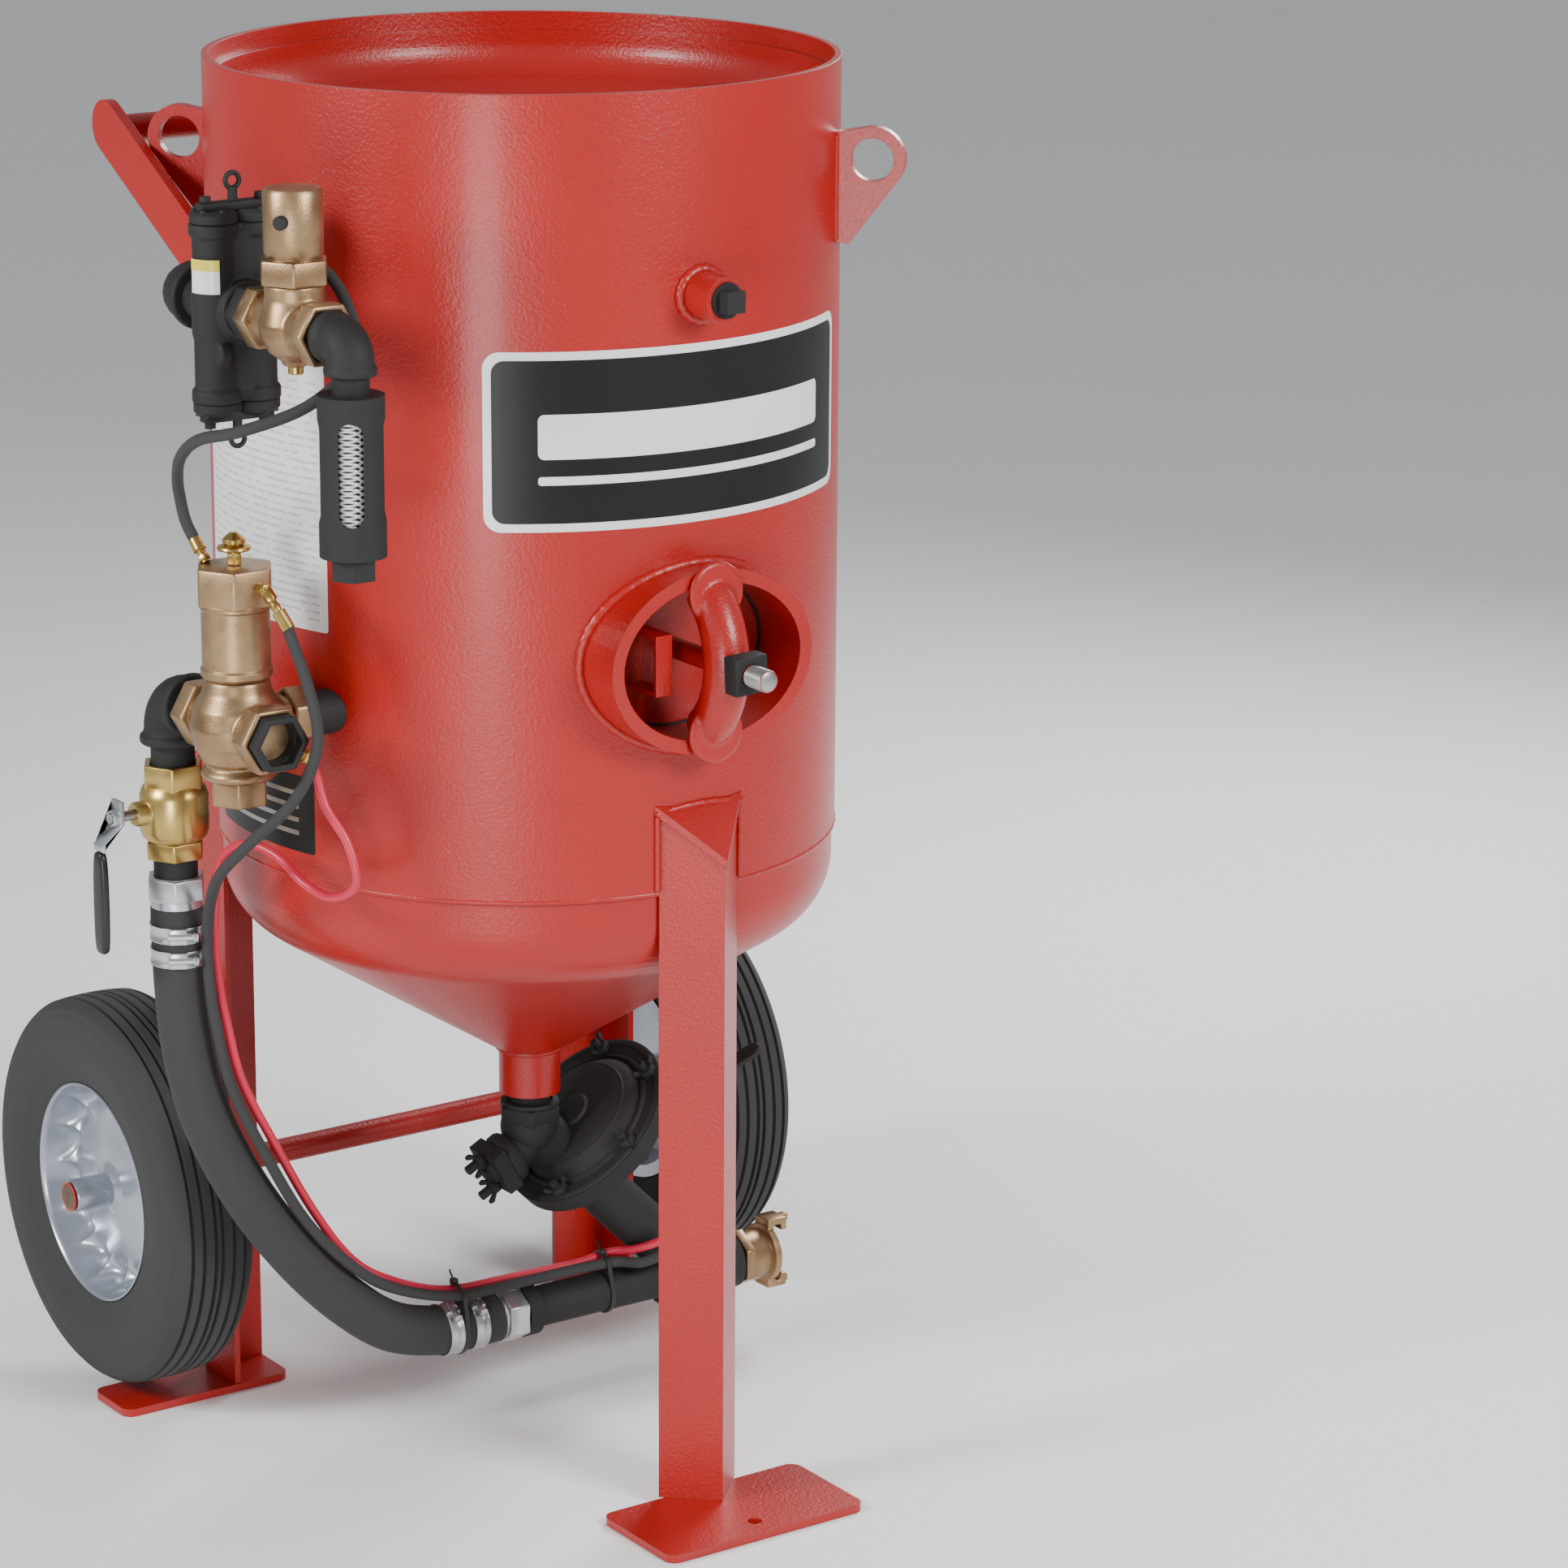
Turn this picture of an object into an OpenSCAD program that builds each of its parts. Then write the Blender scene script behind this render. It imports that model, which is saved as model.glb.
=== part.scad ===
// Portable abrasive blast pot. A carbon steel pressure vessel stands on three
// angle-iron legs with two wheels behind it, so that it can be tilted and rolled.
// Axes: +X to the right, -Y to the front (handway side), +Z up.
// Every module is drawn about the vessel's centre line at floor level, and the whole
// machine is then set down with the middle of its footprint on the origin.
// All sizes are in millimetres.

/* [Vessel] */
// Outside diameter of the vessel
tank_od = 610; // [600:2:620]
// Thickness of the vessel wall and heads
wall = 6.5; // [5:0.5:8]
// Height of the filling rim above the floor
rim_z = 1380; // [1370:5:1390]
// Height of the seam between the shell and the bottom head
seam_z = 622; // [616:2:628]
// Slope of the bottom cone below the horizontal, in degrees
cone_slope = 32.5; // [31:0.5:34]
// Radius of the opening in the middle of the filling head
fill_r = 55; // [50:1:60]

/* [Legs and feet] */
// Flange width of the leg angle irons
leg_flange = 63.5; // [60:0.5:66]
// Thickness of the leg angle irons
leg_wall = 6.35; // [5:0.05:8]
// Distance from the centre line to the heel of each leg
leg_r = 346.5; // [345:0.5:350]
// Height of each leg at its heel
leg_top = 655; // [640:5:665]
// Thickness of the foot plates
foot_t = 8; // [6:1:10]

/* [Wheels] */
// Tyre outside radius
tyre_r = 200; // [195:1:203]
// Distance from the centre line to the middle of each tyre
wheel_x = 326; // [322:1:330]
// Height of the axle above the floor
axle_z = 219; // [215:1:225]
// Axle diameter
axle_d = 25.4; // [24:0.2:26]

/* [Handway] */
// Width of the oval opening
way_w = 198; // [190:2:204]
// Height of the oval opening
way_h = 150; // [146:2:154]
// Height of the middle of the opening
way_z = 850; // [845:5:860]
// Distance of the handway face in front of the centre line
way_y = 335; // [330:1:340]

/* [Pipework] */
// Outside diameter of the iron pipe
pipe_d = 42.2; // [42.2:0.1:42.4]
// Bore of the iron pipe
pipe_bore = 35; // [33:0.5:36]
// Distance of both remote control valves to the left of the centre line
gear_x = 382; // [380:1:384]
// Height of the exhaust line
exhaust_z = 1188; // [1185:1:1190]
// Height of the air inlet line
inlet_z = 793; // [790:1:796]
// Outside diameter of the air hose
hose_d = 51; // [50:0.5:52]

/* [Hidden] */
$fn = 64;
tank_r = tank_od / 2;
inner_r = tank_r - wall;
fit = 0.05;
thread_gap = 0.1;
spool_gap = 0.4;

// Bottom head
head_r = tank_r - 3;
head_bend = 70;
head_z = seam_z - 32;
cone_end_r = head_r - head_bend + head_bend * sin(cone_slope);
cone_end_z = head_z - head_bend * cos(cone_slope);
function cone_z(r) = cone_end_z - (cone_end_r - r) * tan(cone_slope);
socket_d = pipe_d + 2 * thread_gap;
collar_r = 31;
collar_z = 333;

// Filling head
dish_r = 520;
dish_bend = 36;
dish_flange_r = inner_r - wall;
dish_z = rim_z - 30;
dish_angle = acos((dish_flange_r - dish_bend) / (dish_r - dish_bend));
dish_centre_z = dish_z + (dish_r - dish_bend) * sin(dish_angle);
seat_z = dish_centre_z - dish_r - 8;

// Handway
way_x = -6;
way_wall = 13;
way_seat_y = 270;
stud_d = 20;
stud_y = 425;
crab_r = 22;
crab_bend = 84;
crab_angle = 54;
nut_y = way_y + crab_r + 21.4;

// Stations along the exhaust line, as distances from the centre line
elbow_y = -12;
trap_y = -116;
exhaust_y = -225;
small_d = 33.4;
muffler_y = -321;

// Stations along the inlet line
inlet_y = -104;
port_x = -246;
drop_y = 25;
drop_top = 748;
ball_z = 683;
nut_z = 617;

// Pusher line under the vessel
push_z = 97;
wye_x = 197;
push_start = -16;
push_end = 262;

// Metering valve, tilted with its cover facing up and to the left
meter_x = 72;
meter_z = 279;
meter_tilt = 45;
meter_r = 98;
flow_offset = 40;
elbow_bend_z = meter_z + meter_x - flow_offset / cos(meter_tilt);

// Routes of the hoses, as points along their centre lines
air_route = [
    [-382, 25, 586], [-382, 25, 560], [-381, 23, 500], [-377, 19, 440], [-362, 13, 370],
    [-325, 8, 290], [-278, 4, 220], [-225, 2, 160], [-172, 0, 117], [-120, 0, 99],
    [-80, 0, 97], [-44, 0, 97]
];
exhaust_route = [
    [-349.95, -206.5, 1233], [-341, -207, 1231], [-334, -226, 1212], [-334, -250, 1180],
    [-348, -272, 1158], [-392, -262, 1122], [-432, -214, 1096], [-440, -150, 1078], [-430, -96, 1052],
    [-416, -62, 1024], [-408, -52, 1000], [-406, -58, 980], [-402, -70, 962]
];
inlet_route = [
    [-364, -166, 900], [-358, -172, 876], [-352, -182, 845], [-350, -196, 805], [-354, -192, 770],
    [-366, -172, 730], [-384, -122, 682], [-388, -74, 642], [-374, -27, 600], [-368, -8, 556],
    [-368, -11, 516], [-363, -14, 469], [-350, -18, 406], [-316, -21, 331], [-272, -19, 254],
    [-224, -21, 199], [-171, -12, 160], [-100, -13, 136], [-20, -8, 131], [60, -7, 130],
    [98, -10, 129], [117, -30, 131], [147, -37, 140]
];
red_route = [
    [-341, -163, 769], [-334, -164, 752], [-330, -174, 722], [-318, -192, 690], [-314, -200, 652],
    [-322, -168, 632], [-330, -130, 638], [-340, -98, 658], [-352, -65, 664], [-361, -40, 652],
    [-359, -13, 623], [-350, 8, 591], [-350, 10, 548], [-349, 6, 508], [-345, -1, 468],
    [-332, -5, 407], [-297, -4, 335], [-254, -2, 256], [-212, -4, 196], [-162, 2, 161], [-100, 2, 138],
    [-20, 5, 133], [60, 6, 131], [94, 5, 135], [112, -20, 143], [124, -34, 150], [137, -38, 154]
];

// Middle of the footprint, from the lever grip to the axle end and from foot to tyre
footprint_x = (-gear_x - 86 + 390) / 2;
footprint_y = (-426.5 + leg_r * sin(45) + axle_d / 2 + tyre_r) / 2;

// ---------------------------------------------------------------- helpers

// Points on an arc of radius r about (cx, cy), from angle a0 to angle a1
function arc(cx, cy, r, a0, a1, n = 10) =
    [for (i = [0:n]) let(a = a0 + (a1 - a0) * i / n) [cx + r * cos(a), cy + r * sin(a)]];
function unit(v) = v / norm(v);
function reversed(v) = [for (i = [len(v) - 1:-1:0]) v[i]];

// A smooth curve through the points of a route, with k steps between neighbours
function spline(a, b, c, d, t) =
    0.5 * (2 * b + (c - a) * t + (2 * a - 5 * b + 4 * c - d) * t * t + (3 * b - a - 3 * c + d) * t * t * t);
function smooth(p, k) = concat(
    [for (i = [0:len(p) - 2]) for (j = [0:k - 1])
        spline(p[max(i - 1, 0)], p[i], p[i + 1], p[min(i + 2, len(p) - 1)], j / k)],
    [p[len(p) - 1]]);

// Side directions carried along a route without twisting
function carried(t, u, i = 0) =
    i >= len(t) ? [] : let(w = unit(u - t[i] * (u * t[i]))) concat([w], carried(t, w, i + 1));

module swept(route, d, k = 1, sides = 8) {
    path = smooth(route, k);
    n = len(path);
    along = [for (i = [0:n - 1]) unit(path[min(i + 1, n - 1)] - path[max(i - 1, 0)])];
    side = carried(along, abs(along[0][1]) > 0.8 ? [1, 0, 0] : [0, 1, 0]);
    points = [for (i = [0:n - 1]) for (j = [0:sides - 1])
        let(a = 360 * j / sides, v = cross(along[i], side[i]))
        path[i] + d / 2 * (side[i] * cos(a) + v * sin(a))];
    walls = [for (i = [0:n - 2]) for (j = [0:sides - 1])
        let(a = i * sides + j, b = i * sides + (j + 1) % sides)
        each [[a, a + sides, b + sides], [a, b + sides, b]]];
    ends = [[for (j = [0:sides - 1]) j], [for (j = [sides - 1:-1:0]) (n - 1) * sides + j]];
    polyhedron(points, concat(ends, walls));
}

module set_down() { translate([-footprint_x, -footprint_y, 0]) children(); }
module toward_left() { rotate([0, -90, 0]) children(); }
module toward_right() { rotate([0, 90, 0]) children(); }
module toward_front() { rotate([90, 0, 0]) children(); }
module toward_back() { rotate([-90, 0, 0]) children(); }
module both_sides() { children(); mirror([1, 0, 0]) children(); }

module hex(across, h) { cylinder(d = across / cos(30), h = h, $fn = 6); }
module ring(d, bore, h) {
    difference() {
        cylinder(d = d, h = h);
        translate([0, 0, -1]) cylinder(d = bore, h = h + 2);
    }
}
module tank_solid(from = 0, r = tank_r) {
    translate([0, 0, from]) cylinder(r = r, h = rim_z + 50 - from, $fn = 128);
}
module rounded_plate(w, d, r) {
    square([w - 2 * r, d], center = true);
    square([w, d - 2 * r], center = true);
    for (x = [-1, 1], y = [-1, 1]) translate([x * (w / 2 - r), y * (d / 2 - r)]) circle(r);
}
function oval(w, h, n = 64) = [for (i = [0:n - 1]) [w / 2 * cos(360 * i / n), h / 2 * sin(360 * i / n)]];
module oval_prism(w, h, from, to) {
    translate([way_x, -from, way_z]) toward_front() linear_extrude(to - from) polygon(oval(w, h));
}
module at_meter() { translate([meter_x, 0, meter_z]) rotate([0, -meter_tilt, 0]) children(); }
module at_leg(angle) { rotate([0, 0, angle]) translate([leg_r, 0, 0]) children(); }

// ---------------------------------------------------------------- vessel

module tank_shell() {
    color("firebrick") difference() {
        translate([0, 0, seam_z]) ring(tank_od, 2 * inner_r, rim_z - seam_z, $fn = 128);
        oval_prism(way_w + 2 * way_wall, way_h + 2 * way_wall, 200, 400);
        translate([0, -250, 1191]) toward_front() cylinder(d = 44, h = 100);
        translate([-250, elbow_y, exhaust_z]) toward_left() cylinder(d = pipe_d, h = 100);
        translate([-220, inlet_y, inlet_z]) toward_left() cylinder(d = pipe_d, h = 130);
    }
}

module filling_head() {
    upper = concat(
        [[dish_flange_r, rim_z - 18]],
        arc(dish_flange_r - dish_bend, dish_z, dish_bend, 0, -dish_angle),
        arc(0, dish_centre_z, dish_r, -dish_angle, -acos(fill_r / dish_r), 8));
    lower = concat(
        [[inner_r, rim_z - 18]],
        arc(dish_flange_r - dish_bend, dish_z, dish_bend + wall, 0, -dish_angle),
        arc(0, dish_centre_z, dish_r + wall, -dish_angle, -acos(fill_r / (dish_r + wall)), 8));
    color("firebrick") rotate_extrude($fn = 128) polygon(concat(upper, reversed(lower)));
}

module fill_seat() { color("dimgray") translate([0, 0, seat_z]) ring(2 * fill_r, 88, 16); }

module bottom_head() {
    bend = head_r - head_bend;
    outer = concat(
        [[head_r, seam_z]], arc(bend, head_z, head_bend, 0, cone_slope - 90),
        [[socket_d / 2, cone_z(socket_d / 2)]]);
    inner = concat(
        [[head_r - wall, seam_z]], arc(bend, head_z, head_bend - wall, 0, cone_slope - 90),
        [[socket_d / 2, cone_z(socket_d / 2) + wall / cos(cone_slope)]]);
    color("firebrick") rotate_extrude($fn = 128) polygon(concat(outer, reversed(inner)));
}

module threaded_bosses() {
    color("firebrick") {
        rotate_extrude() polygon([
            [socket_d / 2, collar_z], [collar_r, collar_z],
            [collar_r, cone_z(collar_r)], [socket_d / 2, cone_z(socket_d / 2)]]);
        translate([0, -285, 1191]) toward_front() ring(44, 33.6, 61);
    }
}

// ---------------------------------------------------------------- stand

module leg(angle) {
    color("firebrick") difference() {
        at_leg(angle) {
            difference() {
                translate([0, 0, foot_t]) rotate([0, 0, 135]) linear_extrude(leg_top + 60 - foot_t) difference() {
                    square(leg_flange);
                    translate([leg_wall, leg_wall]) square(leg_flange);
                }
                translate([0, 0, leg_top]) rotate([0, 45, 0]) translate([-150, -100, 0]) cube([300, 200, 200]);
            }
            intersection() {
                translate([0, 0, leg_top - 20]) linear_extrude(120)
                    polygon([[4, 0], [-45, 49], [-70, 49], [-70, -49], [-45, -49]]);
                translate([0, 0, leg_top]) rotate([0, 45, 0]) translate([-150, -100, 0]) cube([300, 200, leg_wall]);
            }
        }
        tank_solid(seam_z - 60);
    }
}
module front_leg() { leg(-90); }
module left_leg() { leg(135); }
module right_leg() { leg(45); }

module foot_plates() {
    color("firebrick") {
        translate([0, -366, 0]) linear_extrude(foot_t) difference() {
            rounded_plate(228, 121, 12);
            translate([0, -35]) circle(7);
        }
        both_sides() translate([277, 216, 0]) linear_extrude(foot_t) rounded_plate(190, 72, 12);
    }
}

module axle() {
    axle_y = leg_r * sin(45) + axle_d / 2;
    color("firebrick") translate([-388, axle_y, axle_z]) toward_right() cylinder(d = axle_d, h = 776);
    color("silver") both_sides() {
        translate([253, axle_y, axle_z]) toward_right() ring(38, axle_d, 8);
        translate([388, axle_y, axle_z]) toward_right() ring(30, 16, 2);
    }
}

module lifting_lugs() {
    lug_r = 340;
    lug_z = 1287;
    lug_t = 12.7;
    color("firebrick") for (angle = [-45, 135]) difference() {
        rotate([0, 0, angle]) translate([0, lug_t / 2, 0]) rotate([90, 0, 0]) linear_extrude(lug_t) difference() {
            union() {
                translate([lug_r, lug_z]) circle(31.5);
                polygon([[300, 1208], [318, 1206], [365.8, 1269], [lug_r, 1318.5], [300, 1312]]);
            }
            translate([lug_r, lug_z]) circle(20.5);
        }
        tank_solid();
    }
}

module push_handle() {
    bar_x = 269;
    grip_y = 324;
    grip_z = 1289;
    bar_half = 26;
    slope = 30;
    run = [cos(slope), sin(slope)] * 230;
    off = [sin(slope), -cos(slope)] * bar_half;
    tip = [grip_y, grip_z];
    color("firebrick") {
        both_sides() difference() {
            translate([bar_x, 0, 0]) rotate([90, 0, 90]) linear_extrude(10) {
                translate(tip) circle(bar_half);
                polygon([tip + off, tip - off, tip - off - run, tip + off - run]);
            }
            tank_solid();
        }
        translate([-bar_x, grip_y, grip_z - 4]) toward_right() cylinder(d = 28, h = 2 * bar_x);
    }
}

// ---------------------------------------------------------------- handway

module handway_neck() {
    color("firebrick") difference() {
        oval_prism(way_w + 2 * way_wall, way_h + 2 * way_wall, way_seat_y, way_y);
        oval_prism(way_w, way_h, way_seat_y - 5, way_y + 5);
    }
}

module handway_gasket() {
    color("black") difference() {
        oval_prism(way_w + 24, way_h + 24, way_seat_y - 3, way_seat_y);
        oval_prism(way_w - 4, way_h - 4, way_seat_y - 5, way_seat_y + 5);
    }
}

module handway_cover() {
    color("firebrick") {
        oval_prism(way_w + 28, way_h + 28, way_seat_y - 15, way_seat_y - 3);
        translate([way_x - 43, -way_seat_y + 3, way_z - 2]) toward_front() difference() {
            translate([-9, -29, 0]) cube([18, 58, 50]);
            translate([-10, -25, -1]) cube([20, 50, 47]);
        }
    }
    color("dimgray") translate([way_x, -way_seat_y + 3, way_z]) toward_front()
        cylinder(d = stud_d, h = stud_y - way_seat_y + 3);
}

module crab() {
    centre_y = way_y + crab_r - crab_bend - 0.5;
    color("firebrick") difference() {
        translate([way_x, -centre_y, way_z]) {
            rotate([0, -90, 0]) rotate([0, 0, -90 - crab_angle])
                rotate_extrude(angle = 2 * crab_angle) translate([crab_bend, 0]) circle(crab_r);
            for (side = [-1, 1])
                translate([0, -crab_bend * cos(crab_angle), side * crab_bend * sin(crab_angle)]) sphere(crab_r + 0.6);
            for (side = [-1, 1])
                translate([0, centre_y - way_y - 0.1, side * 67]) toward_front() cylinder(r = 30, h = 7);
        }
        translate([-200, -way_y - 0.1, way_z - 200]) cube([400, 100, 400]);
        translate([way_x, -way_y + 10, way_z]) toward_front() cylinder(d = stud_d + 1, h = 100);
    }
}

module crab_nut() {
    color("darkslategray") translate([way_x, -nut_y, way_z]) toward_front() difference() {
        translate([-18, -18, 0]) cube([36, 36, 20]);
        translate([0, 0, -1]) cylinder(d = stud_d + 2 * fit, h = 22);
    }
}

module pipe_plug() {
    color("black") translate([0, -326, 1191]) toward_front() {
        cylinder(d = 33.4, h = 22);
        translate([-10, -10, 22]) cube([20, 20, 14]);
    }
}

// ---------------------------------------------------------------- labels

module wrapped_plate(angle, half_angle, z0, z1) {
    far = tank_r * 1.2;
    intersection() {
        translate([0, 0, z0]) ring(tank_od + 1, tank_od, z1 - z0, $fn = 128);
        rotate([0, 0, angle]) translate([0, 0, z0 - 1]) linear_extrude(z1 - z0 + 2) polygon([
            [0, 0], far * [cos(half_angle), -sin(half_angle)], [far * 1.2, 0],
            far * [cos(half_angle), sin(half_angle)]]);
    }
}

module label_plates() {
    color("darkred") wrapped_plate(-89, 41, 978, 1146);
    color("white") wrapped_plate(180, 20.5, 868, 1130);
    color("black") wrapped_plate(180, 16.5, 648, 723);
}

// ---------------------------------------------------------------- inside the vessel

module toward_column() {
    translate([port_x, inlet_y, inlet_z]) rotate([0, 90, atan2(-inlet_y, -port_x)]) children();
}
module air_standpipe() {
    reach = norm([port_x, inlet_y]);
    color("firebrick") difference() {
        union() {
            translate([0, 0, inlet_z - 24]) cylinder(d = 48, h = 48);
            translate([0, 0, inlet_z]) cylinder(d = 33.4, h = 350);
            toward_column() cylinder(d = 33.4, h = reach);
            translate([port_x, inlet_y, inlet_z]) sphere(25);
            translate([port_x - 16, inlet_y, inlet_z]) toward_right() cylinder(d = 54, h = 16);
        }
        translate([0, 0, inlet_z]) cylinder(d = 20, h = 400);
        toward_column() translate([0, 0, -12]) cylinder(d = 17, h = reach + 12);
        translate([port_x - 20, inlet_y, inlet_z]) toward_right() cylinder(d = socket_d, h = 14);
    }
}

module popup_valve() {
    color("dimgray") translate([0, 0, seat_z]) {
        translate([0, 0, -52]) cylinder(r1 = 52, r2 = 28, h = 36);
        translate([0, 0, -130]) cylinder(d = 20 - 2 * fit, h = 78);
    }
}

// ---------------------------------------------------------------- iron pipe fittings

module nipple(h) { ring(pipe_d, pipe_bore, h); }

module pipe_nipples() {
    color("black") {
        translate([0, 0, collar_z - 22]) nipple(34);
        difference() {
            translate([-gear_x + 34, elbow_y, exhaust_z]) toward_right() nipple(60);
            tank_solid(0, inner_r);
        }
        translate([-gear_x, elbow_y - 34, exhaust_z]) toward_front() nipple(48);
        translate([-gear_x, trap_y - 34, exhaust_z]) toward_front() nipple(30);
        translate([-gear_x, exhaust_y - 46, exhaust_z]) toward_front() ring(small_d, 26, 30);
        translate([-gear_x, inlet_y + 62, inlet_z]) toward_back() nipple(30);
        translate([-gear_x + 60, inlet_y, inlet_z]) toward_right() nipple(gear_x + port_x - 68);
        translate([-gear_x, drop_y, drop_top - 28]) nipple(40);
        translate([-gear_x, drop_y, nut_z - 14]) nipple(42);
    }
}

// A cast elbow with one leg along +Z and the other along +X from its corner
module elbow(up, across, body = 56, bead = 62, socket = socket_d) {
    difference() {
        union() {
            cylinder(d = body, h = up);
            toward_right() cylinder(d = body, h = across);
            sphere(body / 2 + 1);
            translate([0, 0, up - 9]) cylinder(d = bead, h = 9);
            translate([across - 9, 0, 0]) toward_right() cylinder(d = bead, h = 9);
        }
        cylinder(d = socket, h = up + 1);
        toward_right() cylinder(d = socket, h = across + 1);
    }
}

module pipe_elbows() {
    color("black") {
        translate([-gear_x, elbow_y, exhaust_z]) toward_front() elbow(44, 44);
        translate([-gear_x, muffler_y, exhaust_z]) rotate([0, 0, 90]) toward_right()
            elbow(35, 30, 44, 48, small_d + 2 * thread_gap);
        translate([-gear_x, drop_y, inlet_z]) rotate([0, 0, -90]) toward_right() elbow(45, 45);
    }
}

module hex_bushings() {
    color("black") {
        translate([-gear_x, trap_y - 28, exhaust_z]) toward_front() difference() {
            hex(48, 20);
            translate([0, 0, -1]) cylinder(d = socket_d, h = 22);
        }
        translate([-gear_x, inlet_y - 58, inlet_z]) toward_front() difference() {
            union() {
                cylinder(d = 48, h = 12);
                translate([0, 0, 12]) hex(50, 13);
            }
            translate([0, 0, -1]) cylinder(d = 38, h = 27);
        }
    }
}

// ---------------------------------------------------------------- exhaust line

module trap_body() {
    lobe = 20;
    color("black") difference() {
        union() {
            for (side = [-1, 1]) translate([-gear_x + side * lobe, trap_y, 1103]) cylinder(r = 23, h = 164);
            translate([-gear_x - lobe, trap_y - 21, 1118]) cube([2 * lobe, 42, 134]);
            translate([-gear_x, trap_y - 28, exhaust_z]) toward_back() cylinder(d = 56, h = 60);
        }
        for (side = [-1, 1]) translate([-gear_x + side * lobe, trap_y, 1115]) cylinder(r = 17, h = 140);
        translate([-gear_x, trap_y - 29, exhaust_z]) toward_back() cylinder(d = socket_d, h = 62);
    }
}

module trap_covers() {
    lobe = 20;
    color("black") for (top = [0, 1]) translate([-gear_x, trap_y, 1185]) mirror([0, 0, 1 - top]) {
        translate([-lobe, 0, 82]) cylinder(r = 22, h = 10);
        translate([lobe, 0, 82]) cylinder(r = 22, h = 10);
        translate([-36, -8, 92]) cube([72, 16, 8]);
        for (x = [-28, 28]) translate([x, 0, 100]) cylinder(d = 11, h = 6);
        translate([0, 0, 100]) cylinder(d = 9, h = 12);
        translate([0, 4, 118]) toward_front() ring(18, 8, 8);
    }
}

// A globe valve body with two hexagonal ports along Y
module globe(r, across, half, port_bore, neck_d, neck_top) {
    difference() {
        union() {
            sphere(r);
            translate([0, -half, 0]) toward_back() hex(across, 20);
            translate([0, half - 20, 0]) toward_back() hex(across, 20);
            translate([0, -half + 8, 0]) toward_back() cylinder(d = across - 4, h = 2 * half - 16);
            cylinder(d = neck_d, h = neck_top);
        }
        translate([0, -half - 1, 0]) toward_back() cylinder(d = port_bore, h = 2 * half + 2);
        cylinder(d = neck_d - 12, h = neck_top + 1);
    }
}

module exhaust_body() {
    color("peru") translate([-gear_x, exhaust_y, exhaust_z]) globe(32, 54, 60, socket_d, 54, 38);
}

module exhaust_bonnet() {
    color("peru") translate([-gear_x, exhaust_y, exhaust_z + 38]) {
        difference() {
            union() {
                hex(58, 23);
                cylinder(d = 54, h = 86);
            }
            translate([0, 0, -1]) cylinder(d = 44, h = 78);
        }
        translate([-31, 0, 56]) toward_left() translate([0, 0, -5]) cylinder(d = 13, h = 8);
    }
}

module exhaust_piston() {
    color("gray") translate([-gear_x, exhaust_y, exhaust_z + 42]) cylinder(d = 44 - 2 * fit, h = 24);
}

module muffler_can() {
    color("dimgray") difference() {
        union() {
            translate([-gear_x, muffler_y, 997]) cylinder(d = 60, h = 145);
            translate([-gear_x, muffler_y, 976]) hex(38, 22);
            translate([-gear_x, muffler_y, 1140]) cylinder(d = small_d, h = 30);
        }
        translate([-gear_x, muffler_y, 1004]) cylinder(d = 50, h = 128);
        translate([-gear_x, muffler_y, 1004]) cylinder(d = 26, h = 170);
        for (angle = [0:90:270]) translate([-gear_x, muffler_y, 1028]) rotate([0, 0, angle - 122]) {
            translate([10, -11, 10]) cube([60, 22, 72]);
            translate([10, 0, 10]) toward_right() cylinder(d = 22, h = 60);
            translate([10, 0, 82]) toward_right() cylinder(d = 22, h = 60);
        }
    }
}

module muffler_screen() {
    color("gainsboro") translate([-gear_x, muffler_y, 1004]) ring(50, 46, 128);
}

// ---------------------------------------------------------------- inlet line

module inlet_body() {
    color("peru") translate([-gear_x, inlet_y, inlet_z]) {
        difference() {
            union() {
                sphere(44);
                translate([0, -70, 0]) toward_back() hex(60, 22);
                translate([0, 48, 0]) toward_back() hex(60, 22);
                translate([48, 0, 0]) toward_right() hex(52, 20);
                translate([0, -60, 0]) toward_back() cylinder(d = 52, h = 120);
                toward_right() cylinder(d = 46, h = 60);
                cylinder(d = 60, h = 47);
                translate([0, 0, -49]) cylinder(d = 70, h = 9);
                translate([0, 0, -74]) hex(50, 26);
            }
            translate([0, -71, 0]) toward_back() cylinder(d = 48.2, h = 30);
            translate([0, -50, 0]) toward_back() cylinder(d = socket_d, h = 130);
            toward_right() cylinder(d = socket_d, h = 80);
            cylinder(d = 48, h = 50);
        }
    }
}

module inlet_bonnet() {
    color("peru") translate([-gear_x, inlet_y, inlet_z + 47]) difference() {
        union() {
            cylinder(d = 67, h = 72);
            translate([0, 0, 70]) hex(67, 37);
        }
        translate([0, 0, -1]) cylinder(d = 54, h = 92);
    }
}

module inlet_piston() {
    color("gray") translate([-gear_x, inlet_y, inlet_z + 50]) cylinder(d = 54 - 2 * fit, h = 28);
}

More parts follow.
